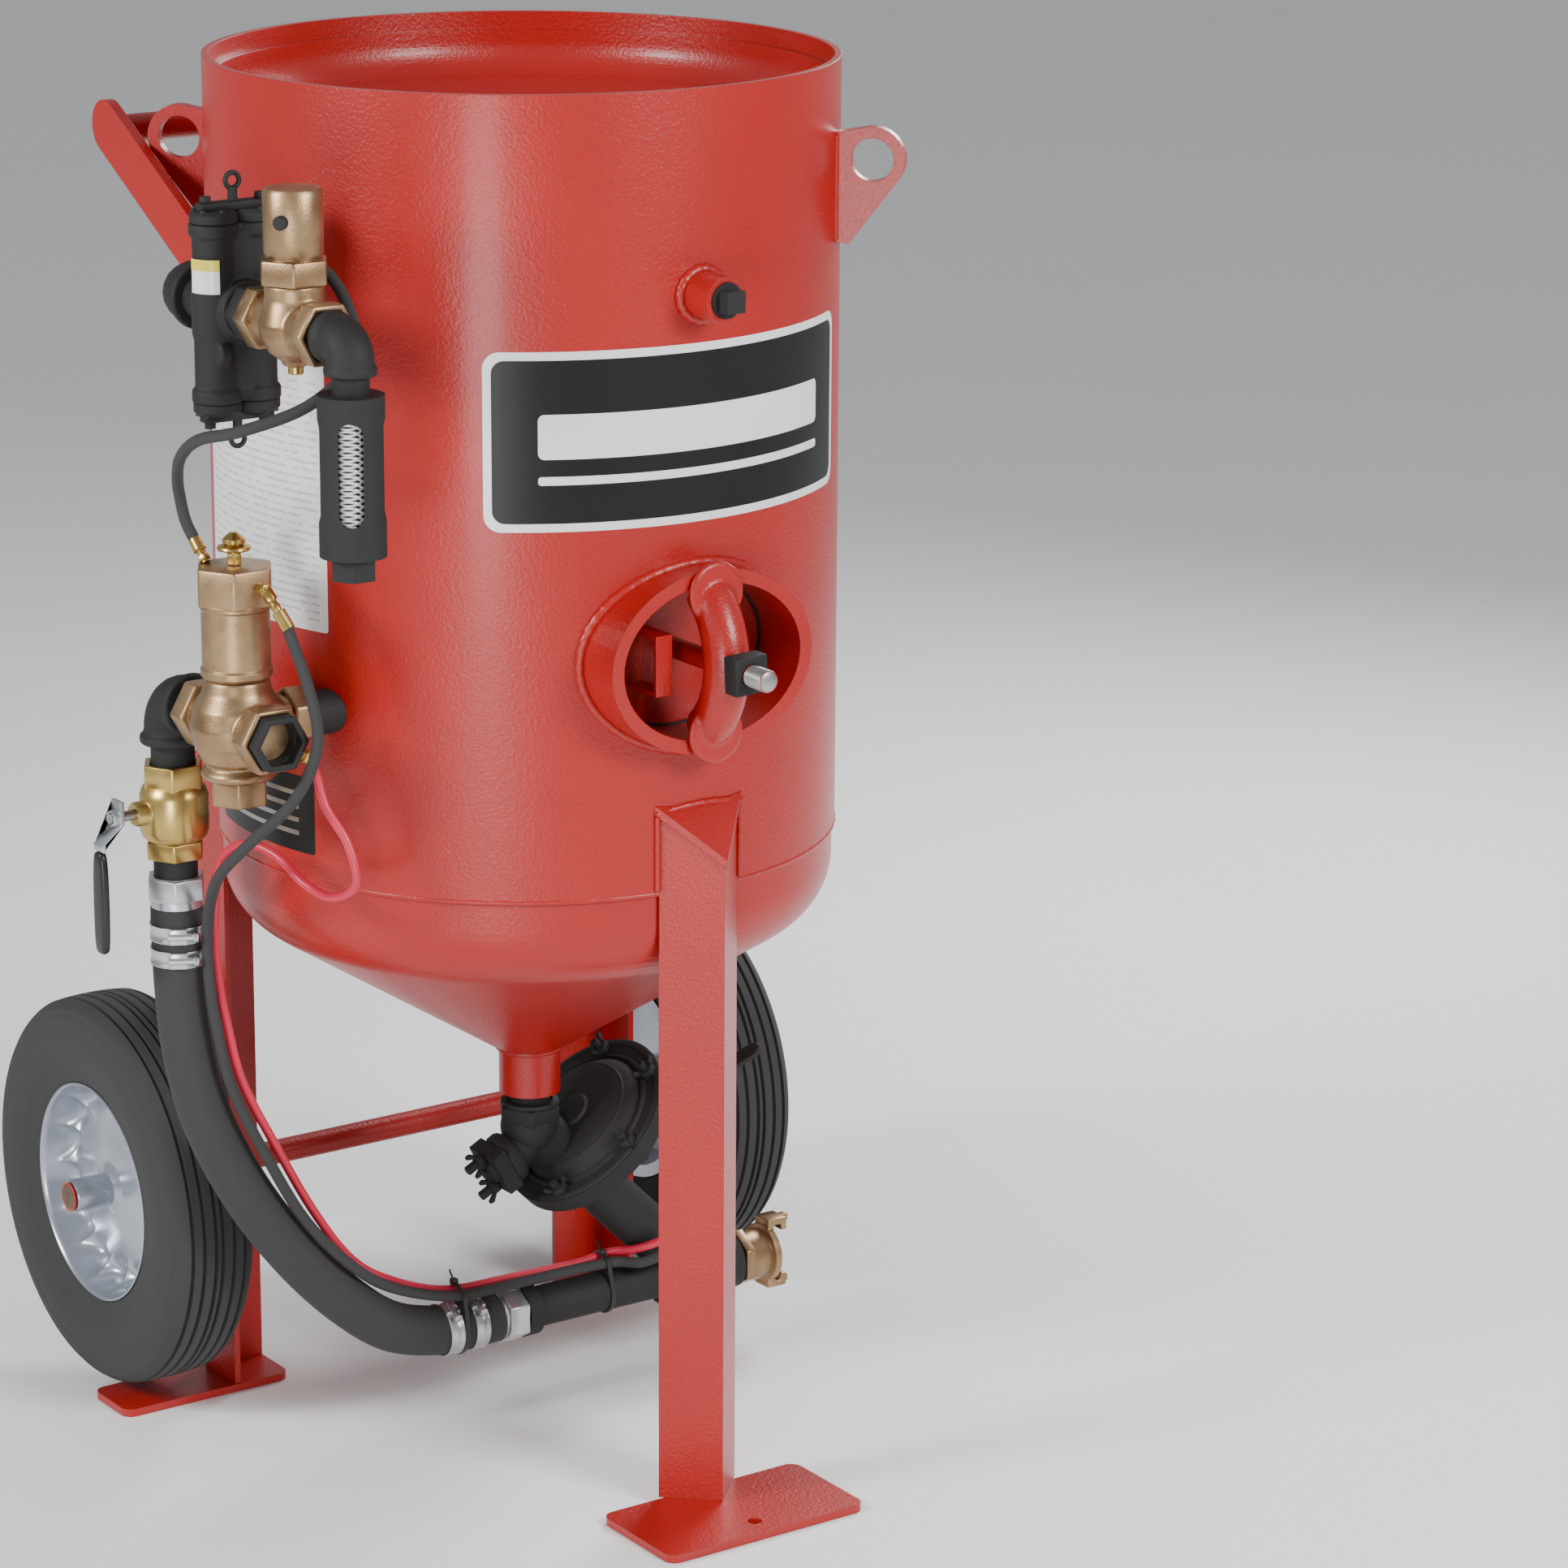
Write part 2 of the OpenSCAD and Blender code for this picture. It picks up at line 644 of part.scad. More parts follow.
// A round bar of diameter d from point a to point b
module bar(a, b, d) {
    v = b - a;
    translate(a) rotate([0, acos(v[2] / norm(v)), atan2(v[1], v[0])]) cylinder(d = d, h = norm(v));
}
module brass_fittings() {
    cap_z = inlet_z + 154;
    front = [-gear_x + 8, inlet_y - 33.5, cap_z - 18];
    drop = exhaust_route[len(exhaust_route) - 1];
    black_end = inlet_route[len(inlet_route) - 1];
    red_end = red_route[len(red_route) - 1];
    color("gold") difference() {
        union() {
            translate([-gear_x, inlet_y, cap_z]) {
                cylinder(d = 12, h = 12);
                translate([0, 0, 12]) cylinder(r1 = 16, r2 = 14, h = 4);
                translate([0, 0, 16]) cylinder(r1 = 11, r2 = 5, h = 14);
                translate([-18, 22, 0]) cylinder(d = 12, h = 8);
            }
            bar([-gear_x - 18, inlet_y + 22, cap_z + 4], drop, 8);
            bar(front, front - [0, 16, 0], 12);
            bar(front - [0, 10, 0], inlet_route[0], 9);
            bar([-gear_x + 26, inlet_y - 59, inlet_z - 15], red_route[0], 9);
            bar([-gear_x + 25.16, exhaust_y + 14.52, exhaust_z + 45], exhaust_route[0], 9);
            for (end = [black_end, red_end]) {
                translate(end + [5.5, -3, 0]) toward_back() cylinder(d = 9, h = -end[1] - 24.2);
                translate(end) toward_right() cylinder(d = 8, h = 5);
            }
        }
        swept(exhaust_route, 11.3, 3);
        swept(inlet_route, 11.3, 3);
        swept(red_route, 9.3, 3);
    }
}

module ball_valve_body() {
    color("goldenrod") translate([-gear_x, drop_y, ball_z]) difference() {
        union() {
            translate([0, 0, 20]) hex(54, 26);
            translate([0, 0, -48]) hex(52, 18);
            cylinder(d = 66, h = 24);
            translate([0, 0, -32]) cylinder(r1 = 27, r2 = 33, h = 8);
            translate([0, 0, -24]) cylinder(d = 66, h = 26);
            toward_left() cylinder(d = 24, h = 44);
        }
        translate([0, 0, -60]) cylinder(d = 27, h = 120);
        translate([0, 0, 28]) cylinder(d = socket_d, h = 40);
        translate([0, 0, -60]) cylinder(d = socket_d, h = 32);
        sphere(20 + spool_gap);
        toward_left() cylinder(d = 10 + 2 * fit, h = 60);
    }
}

module valve_ball() {
    color("silver") translate([-gear_x, drop_y, ball_z]) difference() {
        union() {
            sphere(20);
            toward_left() cylinder(d = 10, h = 70);
        }
        translate([0, 0, -30]) cylinder(d = 26, h = 60);
    }
}

module ball_lever() {
    strap = [[-58, 15], [-62, 15], [-62, -8], [-82, -24], [-82, -30], [-78, -30], [-78, -22.1], [-58, -6.1]];
    color("silver") translate([-gear_x, drop_y, ball_z]) {
        difference() {
            translate([0, 10, 0]) toward_front() linear_extrude(20) polygon(strap);
            translate([-70, 0, 0]) toward_right() cylinder(d = 10, h = 20);
        }
        translate([-62, 0, 0]) toward_left() difference() {
            hex(17, 6);
            translate([0, 0, -1]) cylinder(d = 10, h = 12);
        }
    }
}

module lever_grip() {
    color("black") translate([-gear_x - 86, drop_y - 12, ball_z - 132]) cube([12, 24, 102]);
}

// ---------------------------------------------------------------- hoses

module hose_couplings() {
    color("silver") {
        translate([-gear_x, drop_y, 586]) difference() {
            union() {
                translate([0, 0, 8]) hex(52, 23);
                cylinder(d = 46, h = 10);
            }
            translate([0, 0, 17]) cylinder(d = socket_d, h = 20);
        }
        translate([-44, 0, push_z]) toward_right() {
            cylinder(d = 46, h = 6);
            translate([0, 0, 4]) hex(52, 24);
        }
    }
}

module air_hose() { color("black") swept(air_route, hose_d, 1, 12); }

module hose_clamps() {
    color("silver") {
        for (z = [552, 528]) translate([-gear_x + 0.6, drop_y - 1, z]) ring(hose_d + 6, hose_d, 20);
        for (x = [-112, -82]) translate([x, 0, push_z]) toward_right() ring(hose_d + 6, hose_d, 18);
    }
}

module exhaust_line() { color("black") swept(exhaust_route, 11, 3); }
module inlet_line() { color("black") swept(inlet_route, 11, 3); }
module red_line() { color("crimson") swept(red_route, 9, 3); }

module cable_ties() {
    color("black") {
        translate([-96, 0, push_z + 9]) toward_right() ring(82, 78, 8);
        translate([82, 0, push_z + 9]) toward_right() ring(70, 66, 8);
    }
}

// ---------------------------------------------------------------- metering valve

module metering_elbow() {
    flow = elbow_bend_z;
    tank_side = (meter_x + flow - meter_z) * cos(meter_tilt);
    color("black") difference() {
        union() {
            translate([0, 0, flow]) cylinder(d = 56, h = 10);
            translate([0, 0, flow + 8]) hex(56, 16);
            translate([0, 0, flow]) sphere(30);
            at_meter() translate([-flow_offset, 0, 26]) cylinder(d = 54, h = tank_side - 26);
            translate([0, 0, flow - 14]) rotate([0, -118, 0]) cylinder(d = 44, h = 38);
        }
        translate([0, 0, flow]) cylinder(d = socket_d, h = 40);
        at_meter() translate([-flow_offset, 0, 20]) cylinder(d = 36, h = tank_side - 20);
        translate([0, 0, flow - 14]) rotate([0, -118, 0]) cylinder(d = 30, h = 40);
    }
}

module cleanout_cap() {
    color("black") translate([0, 0, elbow_bend_z - 14]) rotate([0, -118, 0]) {
        translate([0, 0, 24]) cylinder(d = 29.8, h = 14);
        translate([-23, -23, 38]) cube([46, 46, 16]);
        translate([0, 0, 54]) cylinder(d = 14, h = 8);
        translate([-16, 0, 59]) rotate([0, 90, 0]) cylinder(d = 4, h = 32);
    }
}

module bolt_circle() { for (i = [0:5]) rotate([0, 0, 60 * i + 30]) translate([meter_r - 12, 0, 0]) children(); }

module metering_cover() {
    color("black") at_meter() difference() {
        union() {
            translate([0, 0, 3]) cylinder(r = meter_r, h = 9);
            translate([0, 0, 12]) cylinder(r1 = 72, r2 = 60, h = 14);
            translate([0, 0, 26]) cylinder(d = 20, h = 4);
        }
        translate([0, 0, 2]) cylinder(r = 68 + spool_gap, h = 9);
        translate([-flow_offset, 0, 0]) cylinder(d = 36, h = 60);
        bolt_circle() cylinder(d = 9, h = 60);
    }
}

module metering_base() {
    drop = (elbow_bend_z - push_z) / cos(meter_tilt) - (meter_x + elbow_bend_z - meter_z) * cos(meter_tilt);
    color("black") difference() {
        union() {
            at_meter() {
                translate([0, 0, -6]) cylinder(r = meter_r, h = 9);
                translate([0, 0, -20]) cylinder(r1 = 56, r2 = 72, h = 14);
                translate([-flow_offset, 0, -drop]) cylinder(d = 54, h = drop - 8);
            }
            translate([wye_x - 42, 0, push_z]) toward_right() cylinder(d = 58, h = 92);
        }
        at_meter() {
            translate([0, 0, -2]) cylinder(r = 68 + spool_gap, h = 8);
            translate([0, 0, -30]) cylinder(d = 12 + 2 * fit, h = 40);
            translate([-flow_offset, 0, -drop]) cylinder(d = 36, h = drop + 10);
            bolt_circle() translate([0, 0, -30]) cylinder(d = 9, h = 60);
        }
        translate([wye_x - 60, 0, push_z]) toward_right() cylinder(d = socket_d, h = 130);
    }
}

module metering_bolts() {
    color("dimgray") at_meter() bolt_circle() {
        translate([0, 0, -6]) cylinder(d = 8.8, h = 18);
        translate([0, 0, 12]) hex(13, 7);
        translate([0, 0, 19]) cylinder(d = 8.8, h = 6);
        translate([0, 0, -13]) hex(13, 7);
    }
}

module metering_disc() {
    color("silver") at_meter() {
        difference() {
            translate([0, 0, -1.4]) cylinder(r = 68, h = 11);
            translate([-flow_offset, 0, -5]) cylinder(d = 30, h = 20);
        }
        translate([0, 0, -36]) cylinder(d = 12, h = 35);
    }
}

module metering_lever() {
    color("black") at_meter() translate([0, 0, -34]) rotate([0, 0, -35]) difference() {
        union() {
            cylinder(d = 20, h = 10);
            translate([0, -9, 2]) cube([186, 18, 6]);
            translate([186, 0, 2]) cylinder(d = 18, h = 6);
        }
        translate([0, 0, -1]) cylinder(d = 12, h = 12);
    }
}

// ---------------------------------------------------------------- pusher line

module pusher_pipe() {
    color("black") {
        translate([push_start, 0, push_z]) toward_right() {
            ring(pipe_d, pipe_bore, wye_x - 34 - push_start);
            ring(54, pipe_d, 16);
        }
        translate([wye_x + 42, 0, push_z]) toward_right() ring(pipe_d, pipe_bore, push_end - wye_x - 42);
    }
}

module quick_coupling() {
    color("peru") translate([push_end - 12, 0, push_z]) toward_right() difference() {
        union() {
            cylinder(d = 54, h = 34);
            hex(54, 12);
            translate([0, 0, 34]) cylinder(d = 62, h = 8);
            for (angle = [0, 180]) rotate([0, 0, angle]) {
                translate([22, -13, 36]) cube([16, 26, 8]);
                translate([31, -13, 36]) cube([7, 26, 24]);
                translate([24, -13, 52]) cube([12, 26, 8]);
            }
        }
        translate([0, 0, -1]) cylinder(d = socket_d, h = 21);
        cylinder(d = 32, h = 60);
        translate([0, 0, 34]) cylinder(d = 44, h = 20);
    }
}

module coupling_gasket() {
    color("black") translate([push_end + 22, 0, push_z]) toward_right() ring(44, 32, 12);
}

// ---------------------------------------------------------------- wheels

module at_wheel(side) {
    axle_y = leg_r * sin(45) + axle_d / 2;
    translate([side * wheel_x, axle_y, axle_z]) rotate([0, side * 90, 0]) children();
}
module tyre(side) {
    half = [[99, 36], [114, 36], [130, 44], [152, 48], [176, 46], [190, 40], [197, 32], [tyre_r, 18]];
    color("black") at_wheel(side) rotate_extrude($fn = 96)
        polygon(concat(half, reversed([for (p = half) [p[0], -p[1]]])));
}
module rim(side) {
    color("darkgray") at_wheel(side) difference() {
        union() {
            translate([0, 0, -36]) ring(198, 186, 72);
            for (z = [-39, 36]) translate([0, 0, z]) ring(226, 190, 3);
            translate([0, 0, 2]) cylinder(d = 190, h = 5);
            translate([0, 0, -61]) cylinder(d = 36, h = 122);
        }
        translate([0, 0, -70]) cylinder(d = axle_d + 2 * fit, h = 140);
    }
}
module left_tyre() { tyre(-1); }
module left_rim() { rim(-1); }
module right_tyre() { tyre(1); }
module right_rim() { rim(1); }

// ---------------------------------------------------------------- assembly

set_down() tank_shell();
set_down() filling_head();
set_down() fill_seat();
set_down() bottom_head();
set_down() threaded_bosses();
set_down() front_leg();
set_down() left_leg();
set_down() right_leg();
set_down() foot_plates();
set_down() axle();
set_down() lifting_lugs();
set_down() push_handle();
set_down() handway_neck();
set_down() pipe_plug();
set_down() label_plates();
set_down() air_standpipe();
set_down() popup_valve();
set_down() handway_cover();
set_down() handway_gasket();
set_down() crab();
set_down() crab_nut();
set_down() pipe_nipples();
set_down() pipe_elbows();
set_down() hex_bushings();
set_down() trap_body();
set_down() trap_covers();
set_down() exhaust_body();
set_down() exhaust_bonnet();
set_down() exhaust_piston();
set_down() muffler_can();
set_down() muffler_screen();
set_down() inlet_body();
set_down() inlet_bonnet();
set_down() inlet_piston();
set_down() brass_fittings();
set_down() ball_valve_body();
set_down() valve_ball();
set_down() ball_lever();
set_down() lever_grip();
set_down() hose_couplings();
set_down() air_hose();
set_down() hose_clamps();
set_down() exhaust_line();
set_down() inlet_line();
set_down() red_line();
set_down() cable_ties();
set_down() metering_elbow();
set_down() cleanout_cap();
set_down() metering_base();
set_down() metering_cover();
set_down() metering_bolts();
set_down() metering_disc();
set_down() metering_lever();
set_down() pusher_pipe();
set_down() quick_coupling();
set_down() coupling_gasket();
set_down() left_tyre();
set_down() left_rim();
set_down() right_tyre();
set_down() right_rim();
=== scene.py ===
"""Looks of a portable abrasive blast pot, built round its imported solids."""

import logging
import math
from dataclasses import dataclass
from enum import Enum
from typing import Callable, Sequence

import bpy
from mathutils import Matrix, Vector

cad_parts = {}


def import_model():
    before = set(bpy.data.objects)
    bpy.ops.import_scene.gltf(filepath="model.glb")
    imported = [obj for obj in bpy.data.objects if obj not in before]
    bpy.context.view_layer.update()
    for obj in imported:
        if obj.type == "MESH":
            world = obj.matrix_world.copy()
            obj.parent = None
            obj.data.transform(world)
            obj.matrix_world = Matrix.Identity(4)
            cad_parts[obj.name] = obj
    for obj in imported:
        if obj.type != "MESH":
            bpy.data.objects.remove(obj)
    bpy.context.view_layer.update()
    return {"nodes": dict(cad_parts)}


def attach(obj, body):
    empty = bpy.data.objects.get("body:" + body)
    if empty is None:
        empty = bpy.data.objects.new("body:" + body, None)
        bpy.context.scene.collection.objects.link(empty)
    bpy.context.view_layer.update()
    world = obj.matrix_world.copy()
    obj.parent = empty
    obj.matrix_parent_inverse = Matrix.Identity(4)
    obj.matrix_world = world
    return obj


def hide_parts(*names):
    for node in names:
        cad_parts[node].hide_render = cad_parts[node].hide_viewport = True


log = logging.getLogger("blast_pot")
MM = 0.001
Point = tuple[float, float, float]
Pair = tuple[float, float]
Color = tuple[float, ...]

UP = Matrix.Identity(4)
FRONT = Matrix.Rotation(math.radians(90), 4, "X")
BACK = Matrix.Rotation(math.radians(-90), 4, "X")
RIGHT = Matrix.Rotation(math.radians(90), 4, "Y")
LEFT = Matrix.Rotation(math.radians(-90), 4, "Y")
DOWN = Matrix.Rotation(math.radians(180), 4, "X")
HALF_TURNS = (0.0, 180.0)

# Where the vessel's centre line stands in the row frame, in millimetres
CENTRE_LINE = Vector((39.0, -15.607, 0.0))
GEAR_X = -382.0


def at(x: float, y: float, z: float) -> Vector:
    """Turns millimetres about the vessel's centre line into the row frame in metres.

    Args:
        x: Millimetres to the right.
        y: Millimetres to the back.
        z: Millimetres up.

    Returns:
        The point.
    """
    return (Vector((x, y, z)) + CENTRE_LINE) * MM


def stand(x: float, y: float, z: float, turn: Matrix = UP) -> Matrix:
    """A placing matrix: turned first, then moved to a point about the centre line.

    Args:
        x: Millimetres to the right.
        y: Millimetres to the back.
        z: Millimetres up.
        turn: The turn.

    Returns:
        The matrix.
    """
    return Matrix.Translation(at(x, y, z)) @ turn


def shift(x: float, y: float, z: float) -> Matrix:
    """A move by millimetres in the local frame of whatever stands before it.

    Args:
        x: Along local X.
        y: Along local Y.
        z: Along local Z.

    Returns:
        The matrix.
    """
    return Matrix.Translation(Vector((x, y, z)) * MM)


def spin(degrees: float, axis: str = "Z") -> Matrix:
    """A turn about one local axis.

    Args:
        degrees: The angle.
        axis: X, Y or Z.

    Returns:
        The matrix.
    """
    return Matrix.Rotation(math.radians(degrees), 4, axis)


def angles(count: int) -> list[float]:
    """Evenly spaced angles round a full circle, in radians.

    Args:
        count: How many.

    Returns:
        The angles.
    """
    return [math.tau * i / count for i in range(count)]


def smooth_route(points: Sequence[Point], steps: int = 6) -> list[Vector]:
    """A smooth curve through a route.

    Args:
        points: The route's points in millimetres about the centre line.
        steps: Stretches between two neighbouring points.

    Returns:
        Points of the curve in the row frame, in metres.
    """
    p = [Vector(q) for q in points]
    out: list[Vector] = []
    for i in range(len(p) - 1):
        a, b, c, d = p[max(i - 1, 0)], p[i], p[i + 1], p[min(i + 2, len(p) - 1)]
        for j in range(steps):
            t = j / steps
            out.append(0.5 * (2 * b + (c - a) * t + (2 * a - 5 * b + 4 * c - d) * t * t
                              + (3 * b - a - 3 * c + d) * t ** 3))
    out.append(p[-1])
    return [at(*q) for q in out]


# ---------------------------------------------------------------- finishes


class Pattern(Enum):
    """What lies over a finish's own grain."""

    NONE = "none"
    GAUZE = "gauze"
    RULED = "ruled"
    THREAD = "thread"


class Nodes:
    """Short hand for the node tree of one material."""

    def __init__(self, tree: bpy.types.NodeTree) -> None:
        """Starts on a tree and gives it object coordinates.

        Args:
            tree: The material's nodes.
        """
        self.tree = tree
        self.place = self.add("TexCoord").outputs["Object"]

    def add(self, kind: str, inputs: dict[str | int, object] | None = None, **settings: object
            ) -> bpy.types.Node:
        """Adds one node.

        Args:
            kind: Its type without the leading ShaderNode.
            inputs: A value or a linked socket for each input that is set.
            **settings: The node's own properties.

        Returns:
            The node.
        """
        node = self.tree.nodes.new("ShaderNode" + kind)
        for key, value in settings.items():
            setattr(node, key, value)
        self.feed(node, inputs or {})
        return node

    def feed(self, node: bpy.types.Node, inputs: dict[str | int, object]) -> None:
        """Sets or links a node's inputs.

        Args:
            node: The node.
            inputs: A value or a linked socket for each input.
        """
        for key, value in inputs.items():
            if isinstance(value, bpy.types.NodeSocket):
                self.tree.links.new(value, node.inputs[key])
            else:
                node.inputs[key].default_value = value

    def noise(self, scale: float, detail: float) -> bpy.types.NodeSocket:
        """Adds a noise and hands out its value.

        Args:
            scale: How fine it is.
            detail: How many layers it has.

        Returns:
            The noise's value.
        """
        node = self.add("TexNoise", {"Scale": scale, "Detail": detail, "Vector": self.place})
        return node.outputs["Fac"]

    def ramp(self, factor: bpy.types.NodeSocket, low: tuple[float, Color], high: tuple[float, Color]
             ) -> bpy.types.NodeSocket:
        """Turns a value into a colour.

        Args:
            factor: The value.
            low: Position and colour of the lower stop.
            high: Position and colour of the upper stop.

        Returns:
            The colour.
        """
        node = self.add("ValToRGB", {"Fac": factor})
        for element, (position, color) in zip(node.color_ramp.elements, (low, high)):
            element.position = position
            element.color = (*color, 1.0)
        return node.outputs["Color"]

    def cut(self, value: bpy.types.NodeSocket, low: float, high: float, top: float) -> bpy.types.NodeSocket:
        """Stretches part of a value's range from zero to a top.

        Args:
            value: The value.
            low: What becomes zero.
            high: What becomes the top.
            top: The top.

        Returns:
            The stretched value.
        """
        limits = {"From Min": low, "From Max": high, "To Max": top, "Value": value}
        return self.add("MapRange", limits).outputs["Result"]

    def mix(self, factor: bpy.types.NodeSocket, under: bpy.types.NodeSocket, over: Color
            ) -> bpy.types.NodeSocket:
        """Lays a colour over another one.

        Args:
            factor: How much of it shows.
            under: The colour below.
            over: The colour laid on.

        Returns:
            The mixed colour.
        """
        node = self.add("Mix", data_type="RGBA")
        self.feed(node, {0: factor, 6: under, 7: (*over, 1.0)})
        return node.outputs[2]


@dataclass(frozen=True)
class Finish:
    """One procedural surface finish."""

    name: str
    color: Color
    shade: Color
    metallic: float = 0.0
    roughness: float = 0.5
    spread: float = 0.1
    grain: float = 400.0
    bump: float = 0.1
    depth: float = 0.0004
    cloud: float = 14.0
    coat: float = 0.0
    edge: float = 0.0
    pattern: Pattern = Pattern.NONE
    specks: float = 0.0
    shine: float = 0.5

    def material(self) -> bpy.types.Material:
        """Builds the finish once and hands out the same material after that.

        Returns:
            The material.
        """
        found = bpy.data.materials.get(self.name)
        if found is not None:
            return found
        mat = bpy.data.materials.new(self.name)
        mat.use_nodes = True
        nodes = Nodes(mat.node_tree)
        fine = nodes.noise(self.grain, 3.0)
        broad = nodes.noise(self.cloud, 6.0)
        color = nodes.ramp(broad, (0.32, self.shade), (0.66, self.color))
        if self.specks > 0:
            speck = nodes.cut(nodes.noise(self.grain * 0.35, 5.0), 0.58, 0.72, self.specks)
            color = nodes.mix(speck, color, tuple(0.35 * c for c in self.shade))
        height = fine
        if self.pattern is not Pattern.NONE:
            color, height = self._overlay(nodes, color, height)
        rough = nodes.add("MapRange", {"To Min": max(self.roughness - self.spread, 0.02),
                                       "To Max": min(self.roughness + self.spread, 1.0), "Value": broad})
        bump = nodes.add("Bump", {"Strength": self.bump, "Distance": self.depth, "Height": height})
        if self.edge > 0:
            soft = nodes.add("Bevel", {"Radius": self.edge * MM}, samples=4)
            nodes.feed(bump, {"Normal": soft.outputs["Normal"]})
        nodes.feed(mat.node_tree.nodes["Principled BSDF"], {
            "Metallic": self.metallic, "Coat Weight": self.coat, "Specular IOR Level": self.shine,
            "Coat Roughness": 0.18, "Base Color": color, "Roughness": rough.outputs["Result"],
            "Normal": bump.outputs["Normal"]})
        return mat

    def _overlay(self, nodes: Nodes, color: bpy.types.NodeSocket, height: bpy.types.NodeSocket
                 ) -> tuple[bpy.types.NodeSocket, bpy.types.NodeSocket]:
        """Lays the finish's pattern over its colour and height.

        Args:
            nodes: The material's nodes.
            color: Colour so far.
            height: Height so far.

        Returns:
            The new colour and height.
        """
        if self.pattern is Pattern.RULED:
            lines = nodes.add("TexWave", {"Scale": 42.0, "Vector": nodes.place}, bands_direction="Z")
            gaps = nodes.add("TexNoise", {"Scale": 95.0, "Vector": nodes.place})
            both = nodes.add("Math", {0: lines.outputs["Fac"], 1: gaps.outputs["Fac"]}, operation="MULTIPLY")
            print_over = nodes.cut(both.outputs[0], 0.38, 0.46, 0.45)
            return nodes.mix(print_over, color, (0.25, 0.25, 0.26)), height
        if self.pattern is Pattern.GAUZE:
            wires: list[bpy.types.NodeSocket] = []
            for turn in (45.0, -45.0):
                tilt = (math.radians(turn), 0.0, math.radians(30.0))
                lean = nodes.add("Mapping", {"Rotation": tilt, "Vector": nodes.place})
                along = {"Scale": 90.0, "Vector": lean.outputs["Vector"]}
                wires.append(nodes.add("TexWave", along, bands_direction="Y").outputs["Fac"])
            top = nodes.add("Math", {0: wires[0], 1: wires[1]}, operation="MAXIMUM").outputs[0]
            return nodes.ramp(top, (0.45, (0.02, 0.02, 0.02)), (0.8, self.color)), top
        wave = nodes.add("TexWave", {"Scale": 150.0, "Vector": nodes.place}, bands_direction="Z")
        return color, wave.outputs["Fac"]


RED = Finish("red_powder_coat", (0.40, 0.0070, 0.0045), (0.35, 0.0058, 0.0040), roughness=0.36, spread=0.05,
             grain=300.0, bump=0.55, depth=0.0011, cloud=5.0, coat=0.15, edge=1.2)
IRON = Finish("black_iron", (0.0105, 0.0112, 0.0112), (0.0050, 0.0052, 0.0052), roughness=0.34,
              spread=0.10, grain=520.0, bump=0.45, depth=0.0009, cloud=30.0, edge=1.2, shine=0.45)
BRONZE = Finish("cast_bronze", (0.42, 0.28, 0.155), (0.27, 0.165, 0.085), metallic=0.9, roughness=0.38,
                spread=0.10, grain=700.0, bump=0.35, depth=0.0006, cloud=26.0, edge=1.0, specks=0.25)
BRASS = Finish("machined_brass", (0.60, 0.43, 0.15), (0.44, 0.29, 0.08), metallic=0.95, roughness=0.30,
               spread=0.08, grain=500.0, bump=0.16, depth=0.0004, cloud=34.0, edge=0.6)
ZINC = Finish("zinc_plate", (0.62, 0.64, 0.66), (0.47, 0.49, 0.52), metallic=0.9, roughness=0.33,
              spread=0.10, grain=600.0, bump=0.12, depth=0.0003, cloud=40.0, edge=0.7)
STEEL = Finish("plain_steel", (0.50, 0.50, 0.50), (0.36, 0.35, 0.34), metallic=1.0, roughness=0.38,
               spread=0.1, grain=450.0, bump=0.15, depth=0.0003, cloud=30.0, edge=0.5)
WORN_STEEL = Finish("worn_axle_end", (0.20, 0.13, 0.075), (0.09, 0.055, 0.032), metallic=0.6, roughness=0.5,
                    spread=0.1, grain=500.0, bump=0.4, depth=0.0006, cloud=60.0, edge=1.0)
GAUZE = Finish("steel_gauze", (0.66, 0.66, 0.64), (0.55, 0.55, 0.53), metallic=0.7, roughness=0.4,
               bump=0.9, depth=0.001, pattern=Pattern.GAUZE)
TYRE = Finish("tyre_rubber", (0.0075, 0.0080, 0.0078), (0.0045, 0.0048, 0.0047), roughness=0.40, spread=0.08,
              grain=380.0, bump=0.2, depth=0.0004, cloud=9.0, shine=0.36)
HOSE = Finish("hose_rubber", (0.0075, 0.0085, 0.0090), (0.0045, 0.0050, 0.0053), roughness=0.34, spread=0.08,
              grain=420.0, bump=0.25, depth=0.0005, cloud=16.0, shine=0.40)
RED_HOSE = Finish("red_hose", (0.62, 0.018, 0.055), (0.52, 0.012, 0.040), roughness=0.34, spread=0.05,
                  grain=500.0, bump=0.08, depth=0.0003, cloud=20.0)
VINYL = Finish("dipped_vinyl", (0.0070, 0.0070, 0.0075), (0.0045, 0.0045, 0.0048), roughness=0.30, spread=0.05,
               grain=300.0, bump=0.1, depth=0.0004, cloud=30.0)
TIE = Finish("nylon_tie", (0.018, 0.018, 0.018), (0.012, 0.012, 0.012), roughness=0.4, grain=500.0,
             bump=0.3, depth=0.0004, pattern=Pattern.THREAD)
RIM = Finish("silver_rim_paint", (0.44, 0.47, 0.53), (0.36, 0.39, 0.45), metallic=0.75, roughness=0.28,
             spread=0.06, grain=300.0, bump=0.08, depth=0.0004, cloud=12.0, coat=0.3)
WHITE_FILM = Finish("white_film", (0.80, 0.80, 0.79), (0.76, 0.76, 0.75), roughness=0.3, spread=0.04,
                    grain=300.0, bump=0.03, depth=0.0002, cloud=6.0)
RULED_FILM = Finish("ruled_film", (0.80, 0.80, 0.80), (0.75, 0.75, 0.75), roughness=0.32, spread=0.04,
                    grain=300.0, bump=0.03, depth=0.0002, cloud=6.0, pattern=Pattern.RULED)
